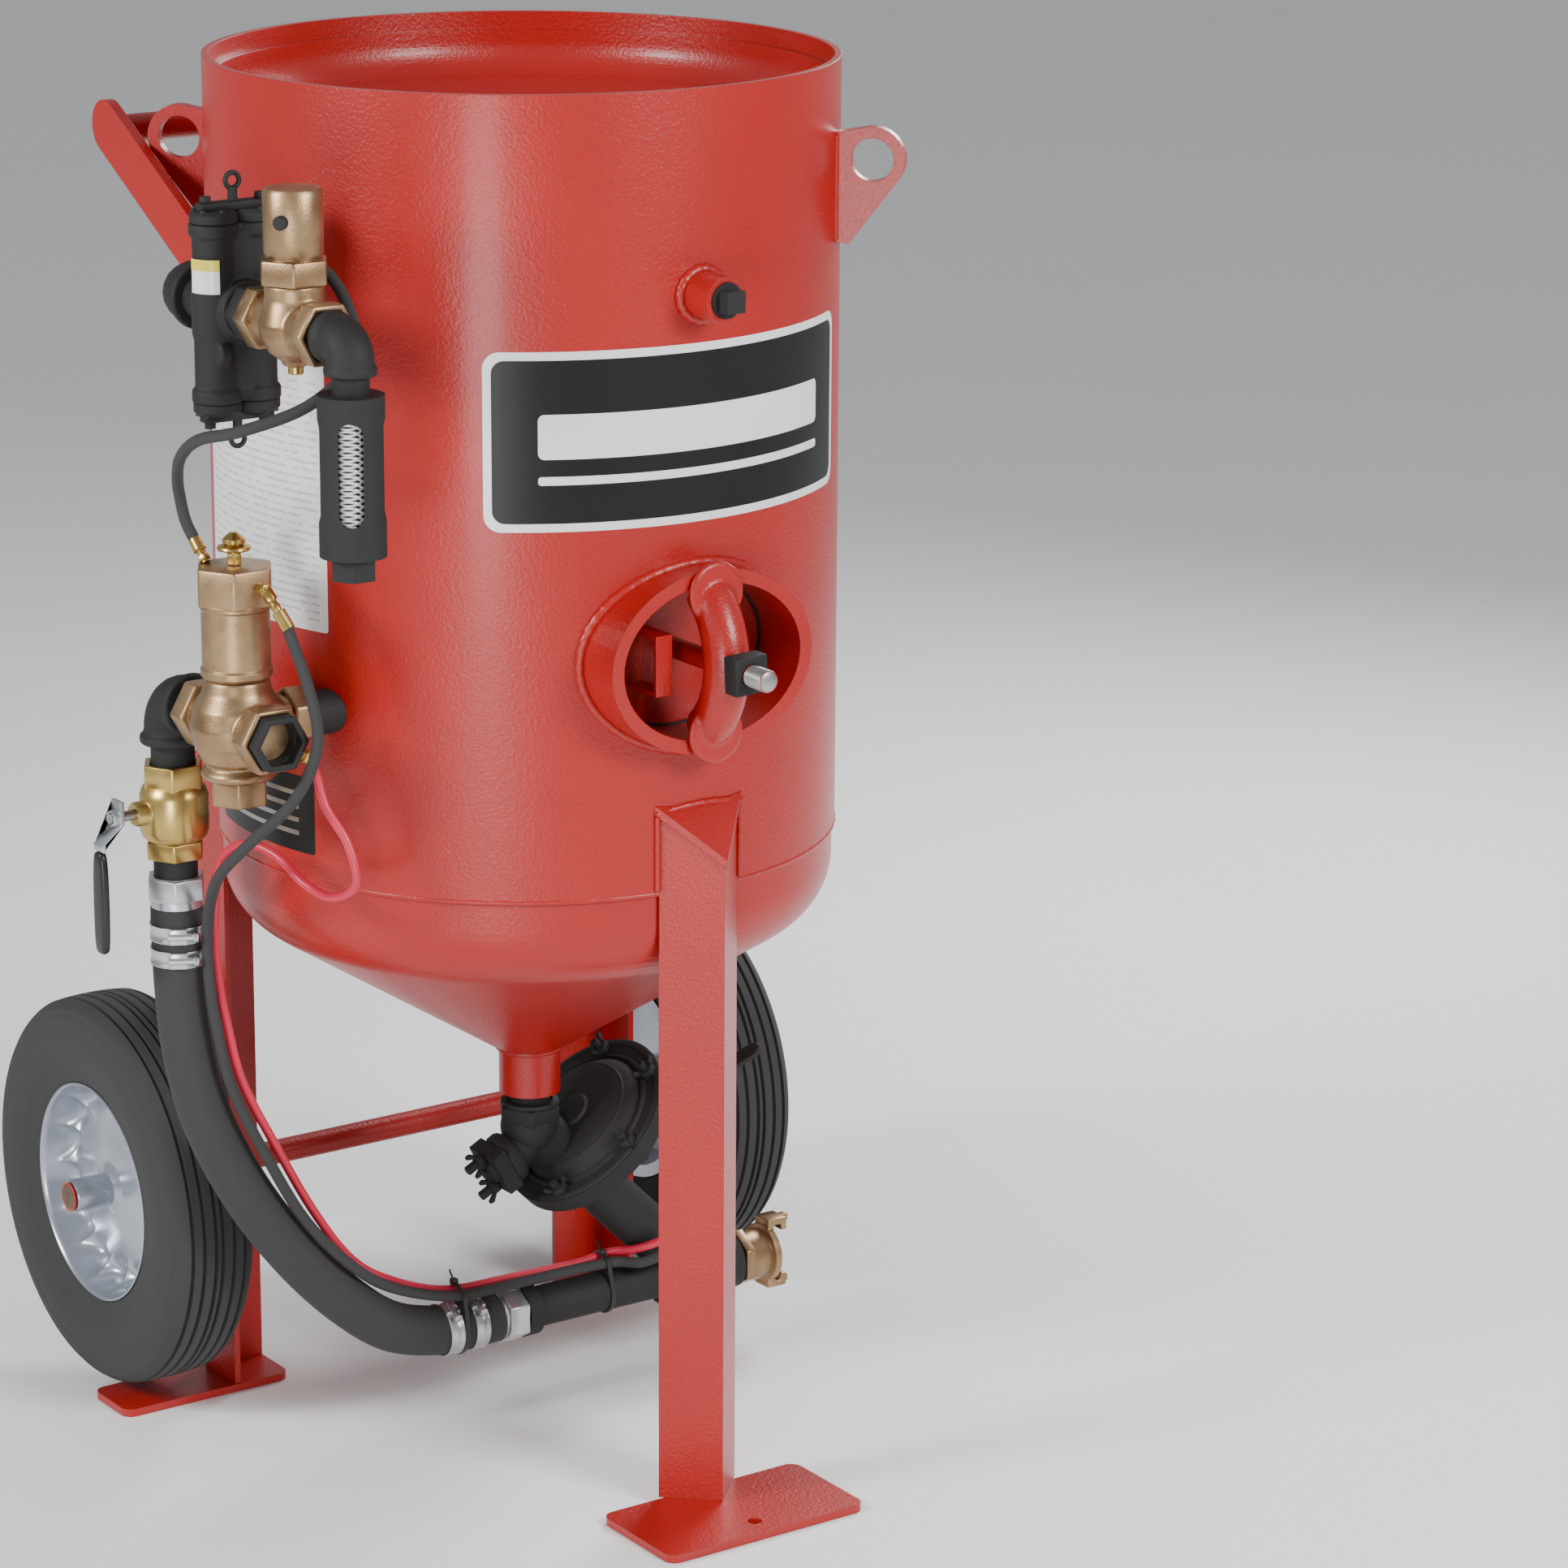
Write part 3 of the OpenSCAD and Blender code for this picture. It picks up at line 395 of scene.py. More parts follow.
DARK_FILM = Finish("dark_film", (0.0110, 0.0125, 0.0120), (0.0095, 0.0108, 0.0104), roughness=0.36, spread=0.03,
                   grain=300.0, bump=0.02, depth=0.0002, cloud=8.0, shine=0.25)
YELLOW_FILM = Finish("yellow_film", (0.75, 0.62, 0.06), (0.70, 0.56, 0.05), roughness=0.35, spread=0.04,
                     grain=300.0, bump=0.03, depth=0.0002, cloud=8.0)
SEAL = Finish("seal_rubber", (0.025, 0.024, 0.024), (0.016, 0.016, 0.016), roughness=0.6, grain=500.0,
              bump=0.2, depth=0.0004, cloud=20.0)
FLOOR = Finish("pale_floor", (0.93, 0.93, 0.93), (0.915, 0.915, 0.915), roughness=0.6, spread=0.05,
               grain=80.0, bump=0.02, depth=0.0002, cloud=1.5)

NODE_FINISH: dict[str, Finish] = {
    **dict.fromkeys(("tank_shell", "filling_head", "bottom_head", "threaded_bosses", "front_leg", "left_leg",
                     "right_leg", "foot_plates", "axle", "lifting_lugs", "push_handle", "handway_neck",
                     "air_standpipe", "handway_cover", "crab"), RED),
    **dict.fromkeys(("pipe_plug", "pipe_nipples", "pipe_elbows", "hex_bushings", "trap_body", "trap_covers",
                     "metering_elbow", "cleanout_cap", "metering_base", "metering_cover", "pusher_pipe",
                     "metering_lever", "crab_nut", "muffler_can", "metering_bolts"), IRON),
    **dict.fromkeys(("exhaust_body", "exhaust_bonnet", "inlet_body", "inlet_bonnet", "quick_coupling"), BRONZE),
    **dict.fromkeys(("brass_fittings", "ball_valve_body"), BRASS),
    **dict.fromkeys(("ball_lever", "hose_couplings", "hose_clamps"), ZINC),
    **dict.fromkeys(("exhaust_piston", "inlet_piston", "valve_ball", "metering_disc"), STEEL),
    **dict.fromkeys(("fill_seat", "handway_gasket", "coupling_gasket", "popup_valve"), SEAL),
    **dict.fromkeys(("air_hose", "exhaust_line", "inlet_line"), HOSE),
    "muffler_screen": GAUZE,
    "lever_grip": VINYL,
    "red_line": RED_HOSE,
    "cable_ties": TIE,
    "label_plates": WHITE_FILM,
    **dict.fromkeys(("left_tyre", "right_tyre"), TYRE),
    **dict.fromkeys(("left_rim", "right_rim"), RIM),
}


# ---------------------------------------------------------------- modelling


class Bench:
    """The modelling moves that every sub-assembly shares."""

    @staticmethod
    def clear() -> None:
        """Leaves edit mode and deselects everything."""
        if bpy.context.object is not None and bpy.context.object.mode != "OBJECT":
            bpy.ops.object.mode_set(mode="OBJECT")
        bpy.ops.object.select_all(action="DESELECT")

    @staticmethod
    def pick(obj: bpy.types.Object) -> None:
        """Makes one object the only selected and active one.

        Args:
            obj: The object.
        """
        Bench.clear()
        obj.select_set(True)
        bpy.context.view_layer.objects.active = obj

    @staticmethod
    def place(obj: bpy.types.Object, matrix: Matrix) -> bpy.types.Object:
        """Puts an object where a matrix says and bakes that into its mesh.

        Args:
            obj: The object.
            matrix: Its place.

        Returns:
            The object.
        """
        Bench.pick(obj)
        obj.matrix_world = matrix @ obj.matrix_world
        bpy.ops.object.transform_apply(location=True, rotation=True, scale=True)
        return obj

    @staticmethod
    def apply(obj: bpy.types.Object, kind: str, **settings: object) -> bpy.types.Object:
        """Adds a modifier with its settings and applies it.

        Args:
            obj: The object.
            kind: The modifier's type.
            **settings: Its properties.

        Returns:
            The object.
        """
        Bench.pick(obj)
        mod = obj.modifiers.new("step", kind)
        for key, value in settings.items():
            setattr(mod, key, value)
        bpy.ops.object.modifier_apply(modifier=mod.name)
        return obj

    @staticmethod
    def bevel(obj: bpy.types.Object, width: float, segments: int = 2) -> bpy.types.Object:
        """Rounds every sharp edge by a width in millimetres.

        Args:
            obj: The object.
            width: The width.
            segments: Faces across the rounding.

        Returns:
            The object.
        """
        return Bench.apply(obj, "BEVEL", width=width * MM, segments=segments, limit_method="ANGLE",
                           angle_limit=math.radians(32), use_clamp_overlap=True)

    @staticmethod
    def turned(profile: Sequence[Pair], place: Matrix, steps: int = 48) -> bpy.types.Object:
        """A piece turned on a lathe.

        Args:
            profile: Stations as (radius, height) in millimetres; a ring repeats its first one.
            place: Where local +Z and the piece's foot go.
            steps: Faces round the piece.

        Returns:
            The mesh object.
        """
        Bench.clear()
        bpy.ops.mesh.primitive_plane_add(size=0.001)
        obj = bpy.context.object
        bpy.ops.object.mode_set(mode="EDIT")
        bpy.ops.mesh.select_mode(type="VERT")
        bpy.ops.mesh.select_all(action="SELECT")
        bpy.ops.mesh.merge(type="CENTER")
        radius, height = profile[0]
        bpy.ops.transform.translate(value=(radius * MM, 0, height * MM))
        for new_radius, new_height in profile[1:]:
            step = ((new_radius - radius) * MM, 0, (new_height - height) * MM)
            bpy.ops.mesh.extrude_region_move(TRANSFORM_OT_translate={"value": step})
            radius, height = new_radius, new_height
        bpy.ops.mesh.select_all(action="SELECT")
        bpy.ops.mesh.spin(steps=steps, angle=math.tau, center=(0, 0, 0), axis=(0, 0, 1))
        bpy.ops.mesh.select_all(action="SELECT")
        bpy.ops.mesh.remove_doubles(threshold=1e-6)
        bpy.ops.mesh.normals_make_consistent(inside=False)
        bpy.ops.object.mode_set(mode="OBJECT")
        return Bench.place(obj, place)

    @staticmethod
    def rod(radius: float, length: float, place: Matrix, chamfer: float = 0.8, steps: int = 32,
            start: float = 0.0) -> bpy.types.Object:
        """A round bar with chamfered ends along local +Z.

        Args:
            radius: Its radius.
            length: Its length.
            place: Where its foot goes.
            chamfer: Size of its chamfers.
            steps: Faces round it.
            start: Height of its foot in the place.

        Returns:
            The mesh object.
        """
        c = min(chamfer, radius * 0.5, length * 0.4)
        return Bench.turned([(0, start), (radius - c, start), (radius, start + c), (radius, start + length - c),
                             (radius - c, start + length), (0, start + length)], place, steps)

    @staticmethod
    def tube(outer: float, bore: float, length: float, place: Matrix, chamfer: float = 0.8,
             steps: int = 48) -> bpy.types.Object:
        """A ring with chamfered rims along local +Z.

        Args:
            outer: Its outer radius.
            bore: Radius of its bore.
            length: Its length.
            place: Where its foot goes.
            chamfer: Size of its chamfers.
            steps: Faces round it.

        Returns:
            The mesh object.
        """
        c = min(chamfer, (outer - bore) * 0.35, length * 0.35)
        return Bench.turned([(bore, c), (bore + c, 0), (outer - c, 0), (outer, c), (outer, length - c),
                             (outer - c, length), (bore + c, length), (bore, length - c), (bore, c)], place, steps)

    @staticmethod
    def hexagon(across: float, height: float, place: Matrix, bore: float = 0.0, edge: float = 1.0
                ) -> bpy.types.Object:
        """A hexagonal nut or head.

        Args:
            across: Size across the flats.
            height: Length along local +Z.
            place: Where it goes.
            bore: Radius of its hole, or none.
            edge: Rounding of its corners.

        Returns:
            The mesh object.
        """
        Bench.clear()
        bpy.ops.mesh.primitive_cylinder_add(vertices=6, radius=across / math.sqrt(3) * MM, depth=height * MM,
                                            location=(0, 0, height / 2 * MM), rotation=(0, 0, math.radians(30)))
        obj = bpy.context.object
        bpy.ops.object.transform_apply(location=True, rotation=True, scale=True)
        if bore > 0:
            bpy.ops.object.mode_set(mode="EDIT")
            bpy.ops.mesh.select_mode(type="FACE")
            bpy.ops.mesh.select_all(action="DESELECT")
            bpy.ops.object.mode_set(mode="OBJECT")
            for face in obj.data.polygons:
                face.select = abs(face.normal.z) > 0.9
            bpy.ops.object.mode_set(mode="EDIT")
            rim = across / 2 - bore
            bpy.ops.mesh.inset(thickness=rim * MM, use_individual=True)
            bpy.ops.mesh.bridge_edge_loops()
            bpy.ops.object.mode_set(mode="OBJECT")
        Bench.bevel(obj, edge)
        return Bench.place(obj, place)

    @staticmethod
    def slab(outline: Sequence[Pair], thickness: float, place: Matrix, edge: float = 0.8) -> bpy.types.Object:
        """A plate of any outline, extruded along local +Z and rounded.

        Args:
            outline: Its corners in millimetres.
            thickness: Its thickness.
            place: Where it goes.
            edge: Rounding of its edges.

        Returns:
            The mesh object.
        """
        Bench.clear()
        bpy.ops.mesh.primitive_circle_add(vertices=len(outline), radius=0.01, fill_type="NGON")
        obj = bpy.context.object
        for vertex, (x, y) in zip(obj.data.vertices, outline):
            vertex.co = (x * MM, y * MM, 0)
        bpy.ops.object.mode_set(mode="EDIT")
        bpy.ops.mesh.select_all(action="SELECT")
        bpy.ops.mesh.extrude_region_move(TRANSFORM_OT_translate={"value": (0, 0, thickness * MM)})
        bpy.ops.mesh.select_all(action="SELECT")
        bpy.ops.mesh.normals_make_consistent(inside=False)
        bpy.ops.object.mode_set(mode="OBJECT")
        if edge > 0:
            Bench.bevel(obj, edge)
        return Bench.place(obj, place)

    @staticmethod
    def block(size: Point, place: Matrix, edge: float = 0.8) -> bpy.types.Object:
        """A block whose foot is centred on the place, with rounded edges.

        Args:
            size: Its three sizes.
            place: Where it goes.
            edge: Rounding of its edges.

        Returns:
            The mesh object.
        """
        x, y, z = size
        return Bench.slab([(-x / 2, -y / 2), (x / 2, -y / 2), (x / 2, y / 2), (-x / 2, y / 2)], z, place, edge)

    @staticmethod
    def run(points: Sequence[Vector], radius: float, sides: int = 4, closed: bool = False,
            radii: Callable[[float], float] | None = None) -> bpy.types.Object:
        """A round line through points of the row frame.

        Args:
            points: The centre line in metres.
            radius: Its radius in millimetres.
            sides: Bevel resolution of the round section.
            closed: Whether the line is a loop.
            radii: Scale of the radius along the line, from 0 to 1.

        Returns:
            The mesh object.
        """
        curve = bpy.data.curves.new("line", "CURVE")
        curve.dimensions = "3D"
        curve.bevel_depth = radius * MM
        curve.bevel_resolution = sides
        curve.use_fill_caps = not closed
        spline = curve.splines.new("POLY")
        spline.points.add(len(points) - 1)
        for i, (knot, p) in enumerate(zip(spline.points, points)):
            knot.co = (*p, 1.0)
            if radii is not None:
                knot.radius = radii(i / (len(points) - 1))
        spline.use_cyclic_u = closed
        obj = bpy.data.objects.new("line", curve)
        bpy.context.collection.objects.link(obj)
        Bench.pick(obj)
        bpy.ops.object.convert(target="MESH")
        return bpy.context.object

    @staticmethod
    def drilled(obj: bpy.types.Object, radius: float, length: float, place: Matrix) -> bpy.types.Object:
        """Drills a round hole through a piece along a place's +Z.

        Args:
            obj: The piece.
            radius: The hole's radius.
            length: How deep the drill goes.
            place: Where it starts.

        Returns:
            The piece.
        """
        drill = Bench.rod(radius, length, place, 0.0, 40)
        Bench.apply(obj, "BOOLEAN", operation="DIFFERENCE", object=drill, solver="EXACT")
        bpy.data.objects.remove(drill, do_unlink=True)
        return obj

    @staticmethod
    def joined(parts: Sequence[bpy.types.Object]) -> bpy.types.Object:
        """Joins pieces into the first one.

        Args:
            parts: The pieces.

        Returns:
            The joined piece.
        """
        Bench.clear()
        for part in parts:
            part.select_set(True)
        bpy.context.view_layer.objects.active = parts[0]
        if len(parts) > 1:
            bpy.ops.object.join()
        return bpy.context.object

    @staticmethod
    def cast(parts: Sequence[bpy.types.Object], grain: float = 1.6, fairing: int = 4) -> bpy.types.Object:
        """Melts overlapping forms into one casting with blended corners.

        Args:
            parts: The forms.
            grain: Size of the casting's cells.
            fairing: Rounds of smoothing.

        Returns:
            The casting.
        """
        obj = Bench.joined(parts)
        Bench.apply(obj, "REMESH", mode="VOXEL", voxel_size=grain * MM)
        return Bench.apply(obj, "SMOOTH", factor=0.5, iterations=fairing)

    @staticmethod
    def settle(parts: bpy.types.Object | list[bpy.types.Object], name: str, slot: str, finish: Finish,
               instead_of: Sequence[str] = (), angle: float = 35.0, body: str = "vessel"
               ) -> bpy.types.Object:
        """Names, dresses and mounts a finished piece.

        Args:
            parts: The mesh object, or several that make up one piece.
            name: Its name.
            slot: Not used.
            finish: Its finish.
            instead_of: CAD nodes that it stands for.
            angle: Edges sharper than this stay sharp.
            body: The body that it rides on.

        Returns:
            The piece.
        """
        obj = Bench.joined(parts) if isinstance(parts, list) else parts
        Bench.pick(obj)
        obj.name = name
        obj.data.name = name
        obj.data.materials.clear()
        obj.data.materials.append(finish.material())
        bpy.ops.object.shade_smooth_by_angle(angle=math.radians(angle))
        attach(obj, body)
        if instead_of:
            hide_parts(*instead_of)
        log.info("%s rides on %s, %d faces", name, body, len(obj.data.polygons))
        return obj


def hull_loop(circles: Sequence[tuple[float, float, float]], count: int = 40) -> list[Pair]:
    """The line round several circles (x, y, r), as a taut strap would run.

    Args:
        circles: The circles in millimetres.
        count: Points of the line.

    Returns:
        The line's points.
    """
    loop: list[Pair] = []
    for turn in angles(count):
        u = (math.cos(turn), math.sin(turn))
        x, y, r = max(circles, key=lambda c: c[0] * u[0] + c[1] * u[1] + c[2])
        loop.append((x + r * u[0], y + r * u[1]))
    return loop


# ---------------------------------------------------------------- studio


@dataclass
class Studio:
    """Floor, lights and camera."""

    camera_at: Point = (-2609.0, -4143.0, 2028.0)
    heading: float = 35.18
    pitch: float = 15.6895
    roll: float = 0.3967
    lens: float = 117.5

    def set_camera(self) -> None:
        """Stands the camera up and makes it the scene's own."""
        a, p, r = (math.radians(v) for v in (self.heading, self.pitch, self.roll))
        ahead = Vector((math.sin(a) * math.cos(p), math.cos(a) * math.cos(p), -math.sin(p)))
        right = Vector((math.cos(a), -math.sin(a), 0.0))
        right = math.cos(r) * right + math.sin(r) * right.cross(ahead)
        above = right.cross(ahead)
        data = bpy.data.cameras.new("camera")
        data.lens = self.lens
        data.sensor_width = 36.0
        data.clip_end = 60.0
        camera = bpy.data.objects.new("camera", data)
        camera.matrix_world = Matrix.Translation(at(*self.camera_at)) @ Matrix(
            (right, above, -ahead)).transposed().to_4x4()
        bpy.context.collection.objects.link(camera)
        bpy.context.scene.camera = camera

    def set_floor(self) -> None:
        """Lays a plain pale floor."""
        Bench.clear()
        bpy.ops.mesh.primitive_plane_add(size=60.0, location=(0, 0, -0.0005))
        floor = bpy.context.object
        floor.name = "floor"
        floor.data.materials.append(FLOOR.material())
        bpy.ops.object.transform_apply(location=True, rotation=True, scale=True)

    def set_lights(self) -> None:
        """Hangs soft boxes round the machine and fills the room with pale light."""
        world = bpy.data.worlds.new("studio")
        bpy.context.scene.world = world
        world.use_nodes = True
        world.node_tree.nodes["Background"].inputs["Color"].default_value = (0.96, 0.98, 1.0, 1.0)
        world.node_tree.nodes["Background"].inputs["Strength"].default_value = 0.42
        boxes = (("key", (0.9, -3.6, 2.6), 130.0, 1.3), ("side", (-3.4, 0.1, 2.4), 110.0, 0.9),
                 ("rim", (2.6, 1.2, 2.2), 80.0, 1.2), ("low", (-2.4, -2.4, 0.6), 30.0, 0.7))
        for name, place, power, size in boxes:
            data = bpy.data.lights.new(name, "AREA")
            data.energy = power
            data.size = size
            lamp = bpy.data.objects.new(name, data)
            lamp.location = place
            lamp.rotation_euler = (Vector((0, 0, 0.75)) - Vector(place)).to_track_quat("-Z", "Y").to_euler()
            bpy.context.collection.objects.link(lamp)


# ---------------------------------------------------------------- hoses


@dataclass
class Hoses:
    """The air hose, the three control lines, and what holds them."""

    air: tuple[Point, ...] = (
        (-382, 25, 586), (-382, 25, 560), (-381, 23, 500), (-377, 19, 440), (-362, 13, 370),
        (-325, 8, 290), (-278, 4, 220), (-225, 2, 160), (-172, 0, 117), (-120, 0, 99),
        (-80, 0, 97), (-44, 0, 97))
    exhaust: tuple[Point, ...] = (
        (-349.95, -206.5, 1233), (-341, -207, 1231), (-334, -226, 1212), (-334, -250, 1180),
        (-348, -272, 1158), (-392, -262, 1122), (-432, -214, 1096), (-440, -150, 1078), (-430, -96, 1052),
        (-416, -62, 1024), (-408, -52, 1000), (-406, -58, 980), (-402, -70, 962))
    inlet: tuple[Point, ...] = (
        (-364, -166, 900), (-358, -172, 876), (-352, -182, 845), (-350, -196, 805), (-354, -192, 770),
        (-366, -172, 730), (-384, -122, 682), (-388, -74, 642), (-374, -27, 600), (-368, -8, 556),
        (-368, -11, 516), (-363, -14, 469), (-350, -18, 406), (-316, -21, 331), (-272, -19, 254),
        (-224, -21, 199), (-171, -12, 160), (-100, -13, 136), (-20, -8, 131), (60, -7, 130),
        (98, -10, 129), (117, -30, 131), (147, -37, 140))
    red: tuple[Point, ...] = (
        (-341, -163, 769), (-334, -164, 752), (-330, -174, 722), (-318, -192, 690), (-314, -200, 652),
        (-322, -168, 632), (-330, -130, 638), (-340, -98, 658), (-352, -65, 664), (-361, -40, 652),
        (-359, -13, 623), (-350, 8, 591), (-350, 10, 548), (-349, 6, 508), (-345, -1, 468),
        (-332, -5, 407), (-297, -4, 335), (-254, -2, 256), (-212, -4, 196), (-162, 2, 161), (-100, 2, 138),
        (-20, 5, 133), (60, 6, 131), (94, 5, 135), (112, -20, 143), (124, -34, 150), (137, -38, 154))

    def lay(self, name: str, route: Sequence[Point], diameter: float, finish: Finish, slot: str) -> None:
        """Args:
            name: The CAD node that it stands for.
            route: Its points in millimetres.
            diameter: Its diameter in millimetres.
            finish: Its finish.
            slot: Not used; passed on to Bench.settle, which ignores it.
        """
        path = smooth_route(route)
        piece = Bench.run(path, diameter / 2, sides=7)
        Bench.settle(piece, name + "_look", slot, finish, (name,))

    def band(self, place: Matrix, radius: float, width: float = 16.0) -> list[bpy.types.Object]:
        """A worm-drive clamp: band, raised rims, housing and screw.

        Args:
            place: The hose's centre line along +Z, the screw toward +X.
            radius: Inner radius of the band.
            width: Its width.

        Returns:
            The clamp's pieces.
        """
        band = Bench.turned([(radius, -width / 2), (radius + 1.6, -width / 2), (radius + 1.6, -width / 2 + 2),
                             (radius + 0.9, -width / 2 + 3), (radius + 0.9, width / 2 - 3),
                             (radius + 1.6, width / 2 - 2), (radius + 1.6, width / 2), (radius, width / 2),
                             (radius, -width / 2)], place)
        side = place @ shift(radius + 0.8, 0, -width / 2)
        house = Bench.block((5, 17, width), side, 1.2)
        screw = Bench.rod(3.4, 24, place @ shift(radius + 2, 14, 0) @ FRONT, 0.6, 20)
        head = Bench.hexagon(8, 5, place @ shift(radius + 2, 19, 0) @ FRONT, 0, 0.5)
        return [band, house, screw, head]

    def hold(self) -> None:
        """Adds clamps, couplings and ties."""
        parts: list[bpy.types.Object] = []
        for z in (562, 538):
            lean = spin(-118)
            parts += self.band(stand(-381.6, 24.2, z, lean), 25.7)
        for x in (-103, -73):
            parts += self.band(stand(x, 0, 97, RIGHT @ spin(200)), 25.8)
        Bench.settle(parts, "hose_clamps_look", "zinc", ZINC, ("hose_clamps",))
        parts = [Bench.hexagon(52, 22, stand(GEAR_X, 25, 594.5), 21.4, 1.6),
                 Bench.turned([(21.4, 617), (24, 617), (25, 615), (25, 586.5), (20, 586.5), (20, 600),
                               (21.4, 602), (21.4, 617)], stand(GEAR_X, 25, 0)),
                 Bench.hexagon(52, 23, stand(-40, 0, 97, RIGHT), 0, 1.6),
                 Bench.rod(23, 27.5, stand(-43.8, 0, 97, RIGHT), 1.2)]
        Bench.settle(parts, "hose_couplings_look", "zinc", ZINC, ("hose_couplings",))
        ties: list[bpy.types.Object] = []
        for x, circles in ((-92.0, ((0, 97, 27.5), (-15, 132, 7), (-3, 139, 6))),
                           (86.0, ((0, 97, 22.4), (-7, 129.5, 6.8), (6, 132, 6)))):
            loop = hull_loop(circles)
            for strand in (-1.4, 0.0, 1.4):
                ties.append(Bench.run([at(x + strand, y, z) for y, z in loop], 1.1, 2, True))
            top = max(z for _, z in loop)
            ties.append(Bench.block((7, 7, 6), stand(x, 0, top - 2), 0.8))
            ties.append(Bench.run([at(x, 2, top + 3), at(x + 1, 10, top + 10)], 1.0, 2))
        Bench.settle(ties, "cable_ties_look", "tie_plastic", TIE, ("cable_ties",))

    def build(self) -> None:
        """Lays every hose and then what holds them."""
        self.lay("air_hose", self.air, 51.0, HOSE, "hose_rubber")
        self.lay("exhaust_line", self.exhaust, 11.0, HOSE, "hose_rubber")
        self.lay("inlet_line", self.inlet, 11.0, HOSE, "hose_rubber")
        self.lay("red_line", self.red, 9.0, RED_HOSE, "red_rubber")
        self.hold()


# ---------------------------------------------------------------- vessel


@dataclass
class Vessel:
    """Weld beads, labels and the handway's fittings."""

    radius: float = 305.0
    handway: Point = (-6.0, -335.0, 850.0)

    def bead(self, name: str, points: Sequence[Vector], size: float, closed: bool = False) -> bpy.types.Object:
        """One weld bead with the small ripples of its passes.

        Args:
            name: Its name.
            points: Its line.
            size: Its radius.
            closed: Whether the line is a loop.

        Returns:
            The bead.
        """
        piece = Bench.run(points, size, 3, closed, lambda t: 1.0 + 0.10 * math.sin(t * len(points) * 1.9))
        return Bench.settle(piece, name, "red_paint", RED, angle=60)

    def welds(self) -> None:
        """Runs beads round the bottom seam, handway, plug boss, legs and lugs."""
        r = self.radius
        circle = [at((r - 2.4) * math.cos(t), (r - 2.4) * math.sin(t), 622)
                  for t in angles(240)]
        self.bead("bottom_seam_weld", circle, 3.2, True)
        x0, _, z0 = self.handway
        ring: list[Vector] = []
        for i in range(160):
            t = math.tau * i / 160
            x, z = x0 + 113.5 * math.cos(t), z0 + 89.5 * math.sin(t)
            ring.append(at(x, -math.sqrt(r * r - x * x) - 1.0, z))
        self.bead("handway_weld", ring, 5.0, True)
        boss_r = 23.5
        boss = [at(boss_r * math.cos(t), -math.sqrt(r * r - (boss_r * math.cos(t)) ** 2) - 1,
                   1191 + boss_r * math.sin(t)) for t in angles(60)]
        self.bead("plug_boss_weld", boss, 5.0, True)
        collar = [at(31.5 * math.cos(t), 31.5 * math.sin(t), 380) for t in angles(60)]
        self.bead("outlet_weld", collar, 3.0, True)
        for label, angle in (("front", -90.0), ("left", 135.0), ("right", 45.0)):
            for side in (-1, 1):
                spread = math.radians(angle) + side * math.asin(46.5 / r)
                line = [at((r + 1) * math.cos(spread), (r + 1) * math.sin(spread), z)
                        for z in range(626, 700, 4)]
                self.bead(f"{label}_leg_weld_{'a' if side < 0 else 'b'}", line, 3.0)
            arc: list[Vector] = []
            for i in range(-10, 11):
                turn = math.radians(angle) + 0.16 * i / 10
                arc.append(at((r + 0.5) * math.cos(turn), (r + 0.5) * math.sin(turn),
                              706 - 6.0 * (i / 10) ** 2))
            self.bead(f"{label}_cap_weld", arc, 3.4)
        for label, angle in (("right", -45.0), ("left", 135.0)):
            for side in (-1, 1):
                spread = math.radians(angle) + side * 0.024
                line = [at((r + 0.6) * math.cos(spread), (r + 0.6) * math.sin(spread), z)
                        for z in range(1210, 1312, 4)]
                self.bead(f"{label}_lug_weld_{'a' if side < 0 else 'b'}", line, 2.6)

    def wrapped(self, middle: float, half_angle: float, low: float, high: float, lift: float, corner: float
                ) -> bpy.types.Object:
        """A sheet with round corners that lies on the shell.

        Args:
            middle: Angle of its middle round the vessel, in degrees.
            half_angle: Half of its width, in degrees.
            low: Height of its lower edge.
            high: Height of its upper edge.
            lift: Height over the shell.
            corner: Radius of its corners.

        Returns:
            The mesh object.
        """
        half_w, half_h = math.radians(half_angle) * self.radius, (high - low) / 2
        outline: list[Pair] = []
        for cx, cy, start in ((1, 1, 0), (-1, 1, 90), (-1, -1, 180), (1, -1, 270)):
            for i in range(9):
                a = math.radians(start + 90 * i / 8)
                outline.append((cx * (half_w - corner) + corner * math.cos(a),
                                cy * (half_h - corner) + corner * math.sin(a)))
        obj = Bench.slab(outline, 0.25, UP, 0)
        Bench.pick(obj)
        bpy.ops.object.mode_set(mode="EDIT")
        count = max(int(half_w / 4), 8)
        for i in range(1, count):
            bpy.ops.mesh.select_all(action="SELECT")
            bpy.ops.mesh.bisect(plane_co=((-half_w + 2 * half_w * i / count) * MM, 0, 0), plane_no=(1, 0, 0))
        bpy.ops.object.mode_set(mode="OBJECT")
        for vertex in obj.data.vertices:
            turn = math.radians(middle) + vertex.co.x / (self.radius * MM)
            reach = self.radius + lift + vertex.co.z / MM
            vertex.co = at(reach * math.cos(turn), reach * math.sin(turn), (low + high) / 2 + vertex.co.y / MM)
        return obj

